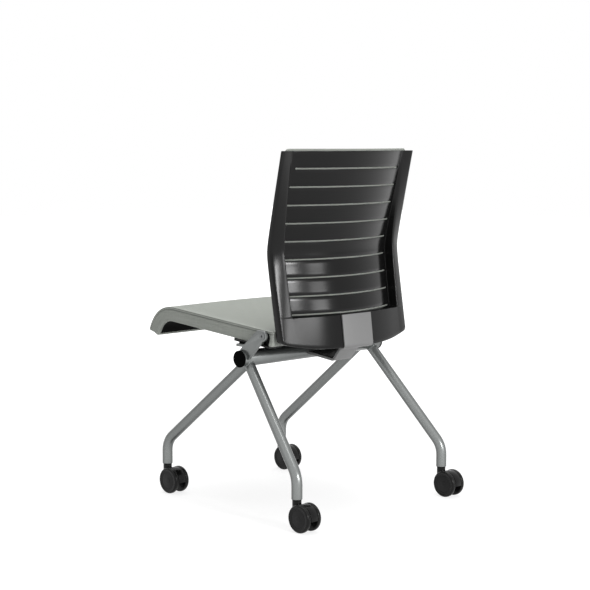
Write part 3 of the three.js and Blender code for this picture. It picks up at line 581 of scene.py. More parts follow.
def turned(name, profile, sides, axis, centre):
    """Turns a profile of (radius, height) about an axis. A profile off the axis closes on itself."""
    points = []
    for radius, height in profile:
        for k in range(sides):
            a, b = radius * math.cos(2 * math.pi * k / sides), radius * math.sin(2 * math.pi * k / sides)
            points.append((height, a, b) if axis == "x" else (a, b, height))
    faces = ring_faces(len(profile), sides, closed=profile[0][0] > 0)
    return solid(name, np.array(points) + centre, faces)


# %% [markdown]
# ## The frame
# The cross tube carries everything: legs, side plates and back bar are welded to it. It is a steel tube of
# 38 mm with 2 mm of wall, sawn square, and a black cap closes each end.

# %% Cross tube and caps
TUBE_HALF = 233.5
TUBE_WALL = 2
CAP_THICKNESS = 3.5
CAP_LIP = 0.75
PLUG_LENGTH = 16
PLUG_WALL = 2
GAP = 0.3
SIDES = ((1, "left"), (-1, "right"))
tube_inner = TUBE_RADIUS - TUBE_WALL
tube_profile = rounded([(tube_inner, -TUBE_HALF), (TUBE_RADIUS, -TUBE_HALF), (TUBE_RADIUS, TUBE_HALF),
                        (tube_inner, TUBE_HALF)], 0.5, steps=2, closed=True)
cross_tube = turned("tube_crossing", tube_profile, 96, "x", (0, TUBE_Y, TUBE_Z))
dressed(cross_tube, "silver_paint", "frame", "cross_tube")

for side, word in SIDES:
    face = TUBE_HALF + GAP
    plug = tube_inner - GAP
    hollow = plug - PLUG_WALL
    plug_end = face - PLUG_LENGTH
    rim = TUBE_RADIUS + CAP_LIP
    crown = face + CAP_THICKNESS
    cap_profile = rounded([(0, face), (hollow, face), (hollow, plug_end), (plug, plug_end), (plug, face),
                           (rim, face), (rim, crown), (0, crown)], [0, 0.3, 0.3, 0.5, 0.2, 0.3, 1.4, 0])
    cap = turned(f"end_cap_{word}", [(r, side * h) for r, h in cap_profile], 96, "x", (0, TUBE_Y, TUBE_Z))
    dressed(cap, "black_rubber", "frame", f"tube_cap_{word}")

# %% [markdown]
# Each leg is one tube of 25 mm, bent once above its caster. Its end is coped: cut to a saddle that fits round
# the cross tube. A ring of points is swept along the leg's route, and each point of the last ring then slides
# along the leg until it meets the cross tube. That gives the saddle exactly, with no boolean.

# %% Legs
LEG_RADIUS = 12.5
LEG_WALL = 1.6
LEG_BEND = 70
LEG_FOOT_Z = 70.5
LEG_AIM = 4.6
LEG_SIDES = 48
SADDLE_GAP = 0.05
LEGS = {"front": (187, 197.8, -251.6, 125.5), "rear": (208.6, 251.2, 250, 120.8)}


def leg_route(top_x, foot_x, foot_y, corner_z):
    """The leg's middle line from the cross tube to its foot, with a smooth bend."""
    top = np.array((top_x, TUBE_Y - LEG_AIM, TUBE_Z), float)
    corner = np.array((foot_x, foot_y, corner_z), float)
    foot = np.array((foot_x, foot_y, LEG_FOOT_Z), float)
    turn = math.pi - math.acos(np.dot(top - corner, foot - corner)
                               / np.linalg.norm(top - corner) / np.linalg.norm(foot - corner))
    return rounded([top, corner, foot], LEG_BEND * math.tan(turn / 2), steps=20)


def saddle(point, heading, radius):
    """Where a line from a point meets the cross tube, seen from the leg's side."""
    gap = point - (0, TUBE_Y, TUBE_Z)
    a = heading[1] ** 2 + heading[2] ** 2
    b = gap[1] * heading[1] + gap[2] * heading[2]
    c = gap[1] ** 2 + gap[2] ** 2 - radius ** 2
    return point + heading * (-b - math.sqrt(b * b - a * c)) / a


def leg_wall(route, radius):
    """Rings of points along the leg, from the saddle to the foot."""
    route = np.array(route)
    steps = np.diff(route, axis=0)
    steps /= np.linalg.norm(steps, axis=1)[:, None]
    level = np.cross(steps[0], steps[-1])
    level /= np.linalg.norm(level)
    rings = []
    for i, middle in enumerate(route):
        heading = steps[max(i - 1, 0)] + steps[min(i, len(steps) - 1)]
        heading /= np.linalg.norm(heading)
        side = np.cross(heading, level)
        turns = np.linspace(0, 2 * math.pi, LEG_SIDES, endpoint=False)
        rings.append([middle + radius * (math.cos(t) * side + math.sin(t) * level) for t in turns])
    rings[0] = [saddle(point, -steps[0], TUBE_RADIUS + SADDLE_GAP) for point in rings[1]]
    return rings


leg_saddles = {}
for place, sizes in LEGS.items():
    for side, word in SIDES:
        route = [point * (side, 1, 1) for point in leg_route(*sizes)]
        outer, inner = leg_wall(route, LEG_RADIUS), leg_wall(route, LEG_RADIUS - LEG_WALL)
        leg_saddles[place, word] = outer[0]
        rings = outer + inner[::-1]
        leg = solid(f"bent_leg_{place}_{word}", [point for ring in rings for point in ring],
                    ring_faces(len(rings), LEG_SIDES, closed=True))
        dressed(leg, "silver_paint", "frame", f"{place}_leg_{word}")

# %% [markdown]
# A weld is a row of small frozen drops that follows the joint. Stitches follow a seam in the same way, so one
# Geometry Nodes tree serves both: it spaces grains along a path, turns each one to the path's direction, and
# sizes it by its inputs. A seeded random number keeps the grains from being exact copies.

# %% A tree that lays grains along a path
class Growth(Graph):
    """A Geometry Nodes tree with named inputs, the last of them a finish."""

    def __init__(self, name, inputs):
        super().__init__(bpy.data.node_groups.new(name, "GeometryNodeTree"))
        for label, kind in (*inputs, ("Finish", "Material")):
            self.tree.interface.new_socket(label, in_out="INPUT", socket_type=f"NodeSocket{kind}")
        self.tree.interface.new_socket("Result", in_out="OUTPUT", socket_type="NodeSocketGeometry")
        self.given = self.tree.nodes.new("NodeGroupInput")

    def value(self, name):
        """What an input holds."""
        return Signal(self, self.given.outputs[name])

    def ended(self, laid):
        """Ends the tree with its instances, made real and given the finish."""
        real = self.add("GeometryNodeRealizeInstances", {}, {"Geometry": laid})
        coloured = self.add("GeometryNodeSetMaterial", {}, {"Geometry": real,
                                                            "Material": self.value("Finish")})
        self.add("NodeGroupOutput", {}, {"Result": coloured})
        return self.tree


def make_grain_tree():
    sizes = ("Spacing", "Length", "Width", "Height", "Unevenness")
    graph = Growth("grains_on_path", [("Path", "Geometry"), *((name, "Float") for name in sizes)])
    value = graph.value
    curve = graph.add("GeometryNodeMeshToCurve", {}, {"Mesh": value("Path")})
    spaced = graph.add("GeometryNodeResampleCurve", {"mode": "LENGTH"}, {"Curve": curve,
                                                                        "Length": value("Spacing")})
    grain = graph.add("GeometryNodeMeshUVSphere", {}, {"Segments": 8, "Rings": 5, "Radius": 0.5})
    heading = graph.add("GeometryNodeInputTangent")
    turn = graph.add("FunctionNodeAlignRotationToVector", {"axis": "X"}, {"Vector": heading})
    chance = graph.add("FunctionNodeRandomValue", {"data_type": "FLOAT"}, {2: -1.0, 3: 1.0, "Seed": 7},
                       output=1)
    uneven = chance * value("Unevenness") + 1.0
    size = graph.add("ShaderNodeCombineXYZ", {}, {
        "X": value("Length") * uneven, "Y": value("Width") * uneven, "Z": value("Height") * uneven})
    return graph.ended(graph.add("GeometryNodeInstanceOnPoints", {}, {
        "Points": spaced, "Instance": grain, "Rotation": turn, "Scale": size}))


GRAINS = make_grain_tree()


def grown(name, tree, points, edges, settings):
    """Runs a Geometry Nodes tree on a path in metres and returns its result as a plain mesh."""
    path = bpy.data.meshes.new(name)
    path.from_pydata([tuple(point) for point in points], edges, [])
    piece = new_piece(name, path)
    growth = piece.modifiers.new("growth", "NODES")
    growth.node_group = tree
    for item in tree.interface.items_tree:
        if item.in_out == "INPUT" and item.name in settings:
            growth[item.identifier] = settings[item.name]
    return baked(piece)


def along(name, paths, slot, closed=False, **settings):
    """Grains along paths, each a list of points in metres."""
    joined, edges = [], []
    for path in paths:
        first = len(joined)
        joined.extend(path)
        edges.extend((first + i, first + i + 1) for i in range(len(path) - 1))
        if closed:
            edges.append((first + len(path) - 1, first))
    sizes = {name.title(): value for name, value in settings.items()}
    return grown(name, GRAINS, joined, edges, {**sizes, "Finish": FINISHES[slot]})


# %% [markdown]
# The welds of the legs: one closed path round each saddle, a little outside the tubes, with flat round drops
# that overlap. They wear the same paint as the tubes they join.

# %% Leg welds
for (place, word), ring in leg_saddles.items():
    weld = along(f"weld_{place}_{word}", [[tuple(p) for p in in_metres(ring)]], "silver_paint", closed=True,
                 spacing=1.0 * MM, length=2.8 * MM, width=2.4 * MM, height=2.4 * MM, unevenness=0.06)
    dressed(weld, "silver_paint", "frame", sharp=60)

# %% [markdown]
# The side plates rise from the cross tube to the seat's pivots. Each one is a plate of 6 mm with a tab that
# turns in under the seat, where a rubber bumper lies. Their node has the right outline, so it is refined.

# %% Side plates and bumpers
for word in ("left", "right"):
    plate = refined(f"side_plate_{word}", f"pivot_plate_{word}", rounding=1.2)
    dressed(plate, "silver_paint", "frame", f"side_plate_{word}")
    bumper = refined(f"stop_bumper_{word}", f"rest_bumper_{word}", rounding=0.9)
    dressed(bumper, "black_rubber", "frame", f"stop_bumper_{word}")

# %% [markdown]
# The pivot is a screw with a low round head and a socket for a key. The head is turned from the drawing's
# profile. The washer and the nut behind the plate can hardly be seen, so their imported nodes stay.

# %% Pivot screws
PIVOT_Y = 117.5
PIVOT_Z = 420.3
PLATE_OUTER_X = 230
NUT_INNER_X = 199.7
PIVOT_SHANK_RADIUS = 4
PIVOT_HEAD_RADIUS = 8.8
PIVOT_HEAD_HEIGHT = 1.2
KEY_RADIUS = 2.4
KEY_DEPTH = 2
for side, word in SIDES:
    seat_x = PLATE_OUTER_X + GAP
    crown = seat_x + PIVOT_HEAD_HEIGHT
    profile = rounded([
        (0, NUT_INNER_X), (PIVOT_SHANK_RADIUS, NUT_INNER_X), (PIVOT_SHANK_RADIUS, seat_x),
        (PIVOT_HEAD_RADIUS, seat_x), (PIVOT_HEAD_RADIUS, crown - 0.5), (PIVOT_HEAD_RADIUS - 0.6, crown),
        (KEY_RADIUS + 0.2, crown), (KEY_RADIUS, crown - KEY_DEPTH), (0, crown - KEY_DEPTH)], 0.25, steps=2)
    screw = turned(f"pivot_bolt_{word}", [(r, side * h) for r, h in profile], 48, "x",
                   (0, PIVOT_Y, PIVOT_Z))
    dressed(screw, "zinc_steel", "frame", f"pivot_screw_{word}")

# %% [markdown]
# The back bar is a flat bar, bent twice: up the back, under it, and forward to the cross tube. A black block
# fills its V. Both are refined from their nodes, with a clear bevel on the bar, because its thin lit edges
# frame the bare plate that one sees first from behind.

# %% Back bar and its block
back_bar = refined("back_bar", "back_carrier", rounding=1.1)
dressed(back_bar, "bar_paint", "frame", "back_bar")
bar_block = refined("back_bar_block", "carrier_block", rounding=1.0)
dressed(bar_block, "black_plastic", "frame", "back_bar_block")

# %% [markdown]
# ## The back shell
# The shell is one moulding of black nylon. Seen from the side, its front edge bends at the lumbar height.
# Across, it has two rails at the sides and a panel between them that bows to the rear, with nine slots. Below
# the last slot lies a wide smooth band. A loft suits this shape: each level gives a ring of points.

# %% The shell's shape
BACK_TOP_Z, BACK_FOOT_Z, BACK_DROOP = 839.3, 404, 19
LUMBAR_Y, LUMBAR_Z, LUMBAR_EASE = 115.5, 611, 19
TOP_SLOPE = (168.3 - LUMBAR_Y) / (BACK_TOP_Z - LUMBAR_Z)
FOOT_SLOPE = (147.5 - LUMBAR_Y) / (LUMBAR_Z - BACK_FOOT_Z)
HALF_AT_FOOT, HALF_AT_TOP = 214, 221.4
RIDGE_AT_FOOT, RIDGE_AT_TOP = 179, 191
SIDE_AT_FOOT, SIDE_AT_TOP = 18, 9
SAG_AT_FOOT, SAG_AT_LEDGE = 29.3, 31
PANEL_MARGIN = 5
PANEL_SAG = 44
SHELL_WALL = 4.5
RIDGE_DEPTH = 26
RIDGE_LIFT, RIDGE_END_Z, RIDGE_FADE = 1.2, 825, 225
BAND_TOP_Z = 461
LEDGE_RISE = 1.5
RUN_OUT_X = 150


def mix(low, high, share):
    return low + (high - low) * share


def edge_y(z):
    rise = z - LUMBAR_Z
    return (LUMBAR_Y + rise * (TOP_SLOPE - FOOT_SLOPE) / 2
            + np.hypot(rise, LUMBAR_EASE) * (TOP_SLOPE + FOOT_SLOPE) / 2)


def level_share(z):
    return (z - BACK_FOOT_Z) / (BACK_TOP_Z - BACK_FOOT_Z)


def half_width(z):
    return mix(HALF_AT_FOOT, HALF_AT_TOP, level_share(z))


def ridge_x(z):
    return mix(RIDGE_AT_FOOT, RIDGE_AT_TOP, level_share(z))


def panel_x(z):
    return ridge_x(z) - PANEL_MARGIN


def panel_bow(x, z):
    """How far the panel's front lies behind the sides' front edge."""
    share = np.minimum(np.abs(x) / panel_x(z), 1)
    return PANEL_SAG * (1 - share * share)


def side_depth(z):
    return mix(SIDE_AT_FOOT, SIDE_AT_TOP, level_share(z))


def band_share(z):
    return (z - BACK_FOOT_Z) / (BAND_TOP_Z - BACK_FOOT_Z)


def band_bow(x, z):
    """How far the band's rear lies behind the front edge: a parabola that runs out straight to the sides."""
    sag = mix(SAG_AT_FOOT, SAG_AT_LEDGE, band_share(z))
    bowed = RIDGE_DEPTH + sag * (1 - (np.minimum(np.abs(x), RUN_OUT_X) / ridge_x(z)) ** 2)
    beyond = (np.abs(x) - RUN_OUT_X).clip(0) / (half_width(z) - RUN_OUT_X)
    return mix(bowed, side_depth(z), beyond)


def ridge_bow(z):
    return mix(SHELL_WALL, RIDGE_DEPTH + RIDGE_LIFT, np.clip((RIDGE_END_Z - z) / RIDGE_FADE, 0, 1))


# %% [markdown]
# One ring of the loft runs along the rear from left to right and back along the front. Its corners are
# rounded by the same helper as the turned pieces, so every ring has the same number of points. The lower
# band's foot droops towards the middle, and the first and last rings are drawn in to round the rims.

# %% Rings of the shell
PANEL_SHARES = np.linspace(0.97, 0.04, 22)
RAIL_SHARES = (0.3, 0.5, 0.7)
RAIL_BULGE = 0.7
FOOT_CORNER = 9
SIDE_ROUND, CREST_ROUND, STEP_ROUND, FRONT_ROUND = 6, 3.5, 0.8, 1.5
QUARTER = np.linspace(0, math.pi / 2, 5)


def shell_ring(z, band, drawn_in=0.0):
    """A ring at a level. Band is 1 in the lower band and 0 in the panel."""
    half, ridge, panel = half_width(z), ridge_x(z), panel_x(z)
    inner = PANEL_SHARES * panel

    def rear_bow(x):
        return mix(panel_bow(x, z) + SHELL_WALL, band_bow(x, z), band)

    crest = mix(ridge_bow(z), band_bow(ridge, z), band)
    side = side_depth(z)
    rail = [(mix(half, ridge, s), mix(side, crest, s) + RAIL_BULGE * 4 * s * (1 - s)) for s in RAIL_SHARES]
    corners = [(half, 0), (half, side), *rail, (ridge, crest), (panel, rear_bow(panel))] + [
        (x, rear_bow(x)) for x in inner]
    reaches = [0, SIDE_ROUND] + [0] * len(rail) + [CREST_ROUND, STEP_ROUND] + [0] * len(inner)
    line = rounded(corners, reaches)[1:]
    front = [(half - FRONT_ROUND * (1 - math.cos(a)), FRONT_ROUND * (1 - math.sin(a))) for a in QUARTER]
    front += [(x, panel_bow(x, z)) for x, _ in line[len(front):]]
    rear = np.array([*line, (0, rear_bow(0))])
    front = np.array([*front, (0, panel_bow(0, z))])
    for row, sign in ((rear, -1), (front, 1)):
        row[:, 1] += sign * drawn_in
        row[:, 0] *= (half - drawn_in) / half

    def both_sides(row):
        return np.vstack([row[:-1] * (-1, 1), row[::-1]])

    def lifted(row):
        if band == 0:
            return np.column_stack([row[:, 0], row[:, 1] + edge_y(z), np.full(len(row), z)])
        foot = BACK_FOOT_Z - BACK_DROOP * (1 - (np.abs(row[:, 0]) / half).clip(0, 1) ** 3)
        foot += FOOT_CORNER * ((np.abs(row[:, 0]) - half + FOOT_CORNER) / FOOT_CORNER).clip(0, 1) ** 2.5
        height = mix(foot, BAND_TOP_Z, band_share(z))
        return np.column_stack([row[:, 0], row[:, 1] + edge_y(height), height])

    return lifted(both_sides(rear)), lifted(both_sides(front))[::-1]


def lofted(name, rings):
    """A closed piece through rings, each given as its rear row and its front row run back."""
    half = len(rings[0][0])
    count = 2 * half
    points = np.vstack([np.vstack(ring) for ring in rings])
    faces = ring_faces(len(rings), count)
    last = (len(rings) - 1) * count
    for i in range(half - 1):
        faces.append((i + 1, i, count - 1 - i, count - 2 - i))
        faces.append((last + i, last + i + 1, last + count - 2 - i, last + count - 1 - i))
    return solid(name, points, faces)


SLOT_COUNT = 9
SLOT_TOP_Z = 799.5
SLOT_FOOT_Z = 466
SLOT_HEIGHT = 3.6
RIM_ROUND = 1.6
LEDGE_SHARE = 0.97
LEVELS_PER_SLOT = 4
slot_step = (SLOT_TOP_Z - SLOT_FOOT_Z) / (SLOT_COUNT - 1)
rings = [shell_ring(BACK_FOOT_Z + RIM_ROUND - RIM_ROUND * math.cos(a), 1, RIM_ROUND - RIM_ROUND * math.sin(a))
         for a in QUARTER]
rings += [shell_ring(z, 1) for z in np.linspace(BACK_FOOT_Z + 7, BAND_TOP_Z - 2, 9)]
rings += [shell_ring(BAND_TOP_Z - 0.4, 1), shell_ring(BAND_TOP_Z, LEDGE_SHARE)]
rings += [shell_ring(BAND_TOP_Z + LEDGE_RISE, 0)]
panel_levels = [SLOT_FOOT_Z + slot_step * k / LEVELS_PER_SLOT for k in range(LEVELS_PER_SLOT * SLOT_COUNT)]
rings += [shell_ring(z, 0) for z in panel_levels if z < BACK_TOP_Z - 4]
rings += [shell_ring(BACK_TOP_Z - RIM_ROUND * (1 - math.sin(a)), 0, RIM_ROUND * (1 - math.cos(a)))
          for a in QUARTER]
back_shell = lofted("slotted_back", rings)
print("the shell's loft has", len(rings), "rings of", len(rings[0][0]) * 2, "points")

# %% [markdown]
# The slots repeat up the back at an even step, and each is a little longer than the one below, which is a
# rule. Geometry Nodes make the nine cutters from it: a line of points, and a box on each whose length grows
# with its index. A boolean takes them out of the shell.

# %% Slot cutters
def make_slot_tree():
    sizes = ("Foot", "Step", "Height", "Depth", "Half Length", "Growth", "Top Shorter", "Middle")
    graph = Growth("slots_up_the_back", [("Start", "Geometry"), ("Count", "Int"),
                                         *((name, "Float") for name in sizes)])
    value = graph.value
    start = graph.add("ShaderNodeCombineXYZ", {}, {"Y": value("Middle"), "Z": value("Foot")})
    step = graph.add("ShaderNodeCombineXYZ", {}, {"Z": value("Step")})
    levels = graph.add("GeometryNodeMeshLine", {"mode": "OFFSET"}, {
        "Count": value("Count"), "Start Location": start, "Offset": step})
    index = graph.add("GeometryNodeInputIndex")
    is_top = graph.math("COMPARE", index, value("Count") - 1.0, 0.1)
    half = value("Half Length") + index * value("Growth") - is_top * value("Top Shorter")
    size = graph.add("ShaderNodeCombineXYZ", {}, {"X": half * 2.0, "Y": value("Depth"), "Z": value("Height")})
    box = graph.add("GeometryNodeMeshCube", {}, {"Size": (1.0, 1.0, 1.0)})
    return graph.ended(graph.add("GeometryNodeInstanceOnPoints", {}, {
        "Points": levels, "Instance": box, "Scale": size}))


def carved(piece, cutter):
    """Takes a cutter out of a piece with an exact boolean, and the cutter out of the scene."""
    cut = piece.modifiers.new("cut", "BOOLEAN")
    cut.operation, cut.solver, cut.object = "DIFFERENCE", "EXACT", cutter
    baked(piece)
    bpy.data.objects.remove(cutter)
    return piece


SLOT_END_GAP = 3
TOP_SHORTENING = 10
CUT_DEPTH, CUT_MIDDLE = 160, 165
foot_half = panel_x(SLOT_FOOT_Z) - SLOT_END_GAP
top_half = panel_x(SLOT_TOP_Z) - SLOT_END_GAP - TOP_SHORTENING
slot_growth = (panel_x(SLOT_TOP_Z) - panel_x(SLOT_FOOT_Z)) / (SLOT_COUNT - 1)
slots = grown("slot_cutters", make_slot_tree(), [(0, 0, 0)], [], {
    "Count": SLOT_COUNT, "Foot": SLOT_FOOT_Z * MM, "Step": slot_step * MM, "Height": SLOT_HEIGHT * MM,
    "Depth": CUT_DEPTH * MM, "Half Length": foot_half * MM, "Growth": slot_growth * MM,
    "Top Shorter": TOP_SHORTENING * MM, "Middle": CUT_MIDDLE * MM, "Finish": FINISHES["black_plastic"]})
carved(back_shell, slots)
print("the slots are", round(2 * foot_half, 1), "to", round(2 * top_half, 1), "mm long")

# %% [markdown]
# The top slot ends in a small round hole on each side, the band has a recess for the bar, and four
# counterbores take the back screws from the front. Each cutter is a short closed form in the drawing.

# %% Holes, recess and counterbores
BAR_THICKNESS = 6
BAR_HALF_WIDTH = 49
BAR_PROUD = 0.8
BAR_TOP_Z = 461
BAR_HEEL_Z = 386
BAR_BEND = 7
KNEE_Y, KNEE_Z = 172.3, 378.7
RECESS_RISE = 6
END_HOLE_RADIUS, END_HOLE_REACH = 3.4, 22
BACK_SCREW_X = 24
BACK_SCREW_LEVELS = (404, 432)
SCREW_HEAD_HEIGHT = 2.4
BORE_RADIUS, BORE_START = 2.8, -4
COUNTERBORE_RADIUS, COUNTERBORE_LENGTH = 5.1, 12


def bar_y(z):
    return edge_y(z) + band_bow(0, z) + BAR_PROUD - BAR_THICKNESS / 2


def side_slab(name, outline, low_x, high_x):
    """A closed form from an outline in the side view."""
    count = len(outline)
    points = [(x, y, z) for x in (low_x, high_x) for y, z in outline]
    faces = [tuple(range(count)), tuple(range(2 * count - 1, count - 1, -1))]
    faces += [(i, (i + 1) % count, count + (i + 1) % count, count + i) for i in range(count)]
    return solid(name, points, faces)


half_bar = BAR_THICKNESS / 2 + GAP
high_z, bend_z, foot_z = BAR_TOP_Z + RECESS_RISE, BAR_HEEL_Z + half_bar + BAR_BEND, KNEE_Z - BAR_THICKNESS
recess = side_slab("bar_room", [
    (bar_y(high_z) - half_bar, high_z), (bar_y(bend_z) - half_bar, bend_z),
    (bar_y(bend_z) - half_bar - BAR_BEND, bend_z - BAR_BEND), (KNEE_Y, KNEE_Z + half_bar), (KNEE_Y, foot_z),
    (bar_y(foot_z) + BAR_THICKNESS, foot_z), (bar_y(high_z) + BAR_THICKNESS, high_z)],
    -BAR_HALF_WIDTH - GAP, BAR_HALF_WIDTH + GAP)
carved(back_shell, recess)


def drilled(name, profile, spot, lean):
    """Takes a turned form out of the shell. It stands at a spot of the drawing and leans about X."""
    drill = turned(name, profile, 24, "z", (0, 0, 0))
    drill.data.transform(Matrix.Translation(Vector(in_metres([spot])[0])) @ Matrix.Rotation(lean, 4, "X")
                         @ Matrix.Translation((0, -DRAWING_SHIFT * MM, 0)))
    carved(back_shell, drill)


near_y, far_y = edge_y(SLOT_TOP_Z) - END_HOLE_REACH, edge_y(SLOT_TOP_Z) + END_HOLE_REACH
end_hole = [(0, near_y), (END_HOLE_RADIUS, near_y), (END_HOLE_RADIUS, far_y), (0, far_y)]
for side in (-1, 1):
    drilled("end_hole", end_hole, (side * top_half, 0, SLOT_TOP_Z), -math.pi / 2)

bar_lean = math.atan2(bar_y(BAR_HEEL_Z) - bar_y(BAR_TOP_Z), BAR_TOP_Z - BAR_HEEL_Z)
low_z = BACK_SCREW_LEVELS[0]
bearing = bar_y(low_z) - (edge_y(low_z) + panel_bow(BACK_SCREW_X, low_z)) - SCREW_HEAD_HEIGHT - GAP
bore_end = bearing + COUNTERBORE_LENGTH
bore = [(0, BORE_START), (BORE_RADIUS, BORE_START), (BORE_RADIUS, bearing), (COUNTERBORE_RADIUS, bearing),
        (COUNTERBORE_RADIUS, bore_end), (0, bore_end)]
for side in (-1, 1):
    for z in BACK_SCREW_LEVELS:
        drilled("bore", bore, (side * BACK_SCREW_X, bar_y(z), z), math.pi / 2 + bar_lean)

outward(back_shell)
bevelled(back_shell, 0.5, 2, 50)
dressed(back_shell, "black_plastic", "frame", "back_shell", sharp=32)

# %% [markdown]
# ## Upholstery
# Foam under tight cloth is crowned, with sides that pull in between the seams. Cloth simulation gives that: a
# closed skin with an even net is blown up a little, while points at the seams are pinned. How far a point may
# move is capped, because foam is firm. The skin starts slightly smaller, as it swells.

# %% A simulated cushion skin
FRAMES = 20
PRESSURE = 4
LEAST_PIN = 0.02


def read(items, name):
    """One vector of each point or face of a mesh."""
    flat = np.empty(len(items) * 3)
    items.foreach_get(name, flat)
    return flat.reshape(-1, 3)


def points_of(piece):
    """The mesh's points in the drawing, in mm."""
    return read(piece.data.vertices, "co") / MM - (0, DRAWING_SHIFT, 0)


def moved(piece, points):
    """Puts the mesh's points at new places in the drawing."""
    piece.data.vertices.foreach_set("co", in_metres(points).ravel())
    piece.data.update()


def blown_up(piece, hold, cap):
    """Runs Blender's cloth on a closed skin. Hold is 1 where a point is pinned; cap is in mm."""
    start = points_of(piece)
    pins = piece.vertex_groups.new(name="pins")
    for index, weight in enumerate(hold):
        if weight > LEAST_PIN:
            pins.add([index], float(weight), "REPLACE")
    cloth = piece.modifiers.new("cloth", "CLOTH")
    settings = cloth.settings
    settings.quality, settings.mass, settings.air_damping = 5, 0.3, 1.0
    settings.tension_stiffness = settings.compression_stiffness = 15
    settings.shear_stiffness, settings.bending_stiffness = 5, 0.5
    settings.use_pressure, settings.uniform_pressure_force = True, PRESSURE
    settings.vertex_group_mass = "pins"
    settings.effector_weights.gravity = 0
    cloth.point_cache.frame_start, cloth.point_cache.frame_end = 1, FRAMES
    for step in range(1, FRAMES + 1):
        bpy.context.scene.frame_set(step)
    baked(piece)
    bpy.context.scene.frame_set(1)
    piece.vertex_groups.clear()
    travel = points_of(piece) - start
    length = np.maximum(np.linalg.norm(travel, axis=1), 1e-9)
    moved(piece, start + travel * (np.minimum(length, cap) / length)[:, None])
    print(piece.name, "swelled by", round(float(np.minimum(length, cap).mean()), 2), "mm on average")
    return piece


def subdivided(piece):
    """One level of subdivision, for smooth cloth."""
    finer = piece.modifiers.new("finer", "SUBSURF")
    finer.levels = finer.render_levels = 1
    return baked(piece)


def charted(piece, chart):
    """A UV map in metres along the threads. The chart gives two lengths for a face's points."""
    layer = piece.data.uv_layers.new(name="cloth")
    corners = [loop.vertex_index for loop in piece.data.loops]
    sizes = [face.loop_total for face in piece.data.polygons]
    facing = np.repeat(read(piece.data.polygons, "normal"), sizes, axis=0)
    layer.data.foreach_set("uv", (chart(points_of(piece)[corners], facing) * MM).ravel())


# %% [markdown]
# ## The back pad
# The pad is a slab of foam in a sewn cover, glued to the front of the shell. Its rear follows the panel's
# bow. The form below is a little thinner than the finished pad. A loft gives it an even net whose rows follow
# the rim, so it needs no remesh, which would blunt the edge. The rim is pinned, because the cover is pulled
# round a stiff board there, and after the simulation the rear is laid back on the shell.

# %% Back pad
PAD_HALF = 202
PAD_TOP_Z, PAD_FOOT_Z = 844.2, 456
PAD_EDGE, PAD_CROWN = 15, 10
PAD_CORNER = 9
PAD_WAIST = 4
PAD_CAP = 4
RIM_SHARE, BODY_SHARE = 0.42, 0.58
PAD_HOLD_END, PAD_HOLD_FADE, PAD_REAR_DEPTH = 16, 8, 3


def pad_share(z):
    return (z - PAD_FOOT_Z) / (PAD_TOP_Z - PAD_FOOT_Z)


def shell_front(x, z):
    """Where the front of the shell lies, told on for the strip of pad above its top."""
    return edge_y(z) + panel_bow(x, np.minimum(z, BACK_TOP_Z))


def pad_half(z):
    """The pad's half width: drawn in a little at mid height, and rounded at its corners."""
    end = min(z - PAD_FOOT_Z, PAD_TOP_Z - z, PAD_CORNER)
    return (PAD_HALF - PAD_WAIST * math.sin(math.pi * pad_share(z))
            - PAD_CORNER * (1 - math.sqrt(max(0, 1 - (1 - end / PAD_CORNER) ** 2))))


def pad_ring(z):
    half = pad_half(z)
    x = np.sin(np.linspace(-1, 1, 61) * math.pi / 2) * half
    rise = pad_share(z)
    ends = max(0, 1 - abs(2 * rise - 1) ** 24) ** 0.5
    depth = (PAD_EDGE + (PAD_CROWN - PAD_CAP) * (1 - (x / half) ** 2) * math.sin(math.pi * rise) ** 0.5) * (
        RIM_SHARE + BODY_SHARE * (1 - np.abs(x / half) ** 18).clip(0, 1) ** 0.5 * ends)
    rear = shell_front(x, z) - GAP
    column = np.full(len(x), z)
    return np.column_stack([x, rear, column]), np.column_stack([x, rear - depth, column])[::-1]


pad_levels = PAD_FOOT_Z + (PAD_TOP_Z - PAD_FOOT_Z) * (1 - np.cos(np.linspace(0, math.pi, 73))) / 2
back_pad = lofted("back_upholstery", [pad_ring(z) for z in pad_levels])


def pad_rim(points):
    """How far a point is from the pad's outline, in mm."""
    half = np.array([pad_half(min(max(z, PAD_FOOT_Z + 0.1), PAD_TOP_Z - 0.1)) for z in points[:, 2]])
    return np.minimum(half - np.abs(points[:, 0]),
                      np.minimum(points[:, 2] - PAD_FOOT_Z, PAD_TOP_Z - points[:, 2]))


skin = points_of(back_pad)
behind = skin[:, 1] - shell_front(skin[:, 0], skin[:, 2])
hold = np.clip((PAD_HOLD_END - pad_rim(skin)) / PAD_HOLD_FADE, 0, 1) + (behind > -PAD_REAR_DEPTH)
blown_up(back_pad, hold.clip(0, 1), cap=PAD_CAP)
subdivided(back_pad)
skin = points_of(back_pad)
skin[:, 1] = np.minimum(skin[:, 1], shell_front(skin[:, 0], skin[:, 2]) - GAP)
moved(back_pad, skin)

# %% [markdown]
# A seam joins the pad's face to its border. It is a groove one or two millimetres deep, pressed into the
# finished skin. It is also marked, so that the cloth inside it is painted darker as shade for the groove.
# A line of stitches runs beside it.

# %% Seam and stitches of the pad
PAD_SEAM_IN = 13
SEAM_WIDTH = 1.8
SEAM_DEPTH = 1.3
STITCH_IN = 4
STITCH_LIFT = 0.1
STITCH = dict(spacing=3.6 * MM, length=2.8 * MM, width=0.9 * MM, height=0.7 * MM, unevenness=0.06)
STEEP = 0.7
FORWARD = -0.4
normals = read(back_pad.data.vertices, "normal")
near = np.exp(-((pad_rim(skin) - PAD_SEAM_IN) / SEAM_WIDTH) ** 2) * (normals[:, 1] < FORWARD)
moved(back_pad, skin - normals * near[:, None] * SEAM_DEPTH)
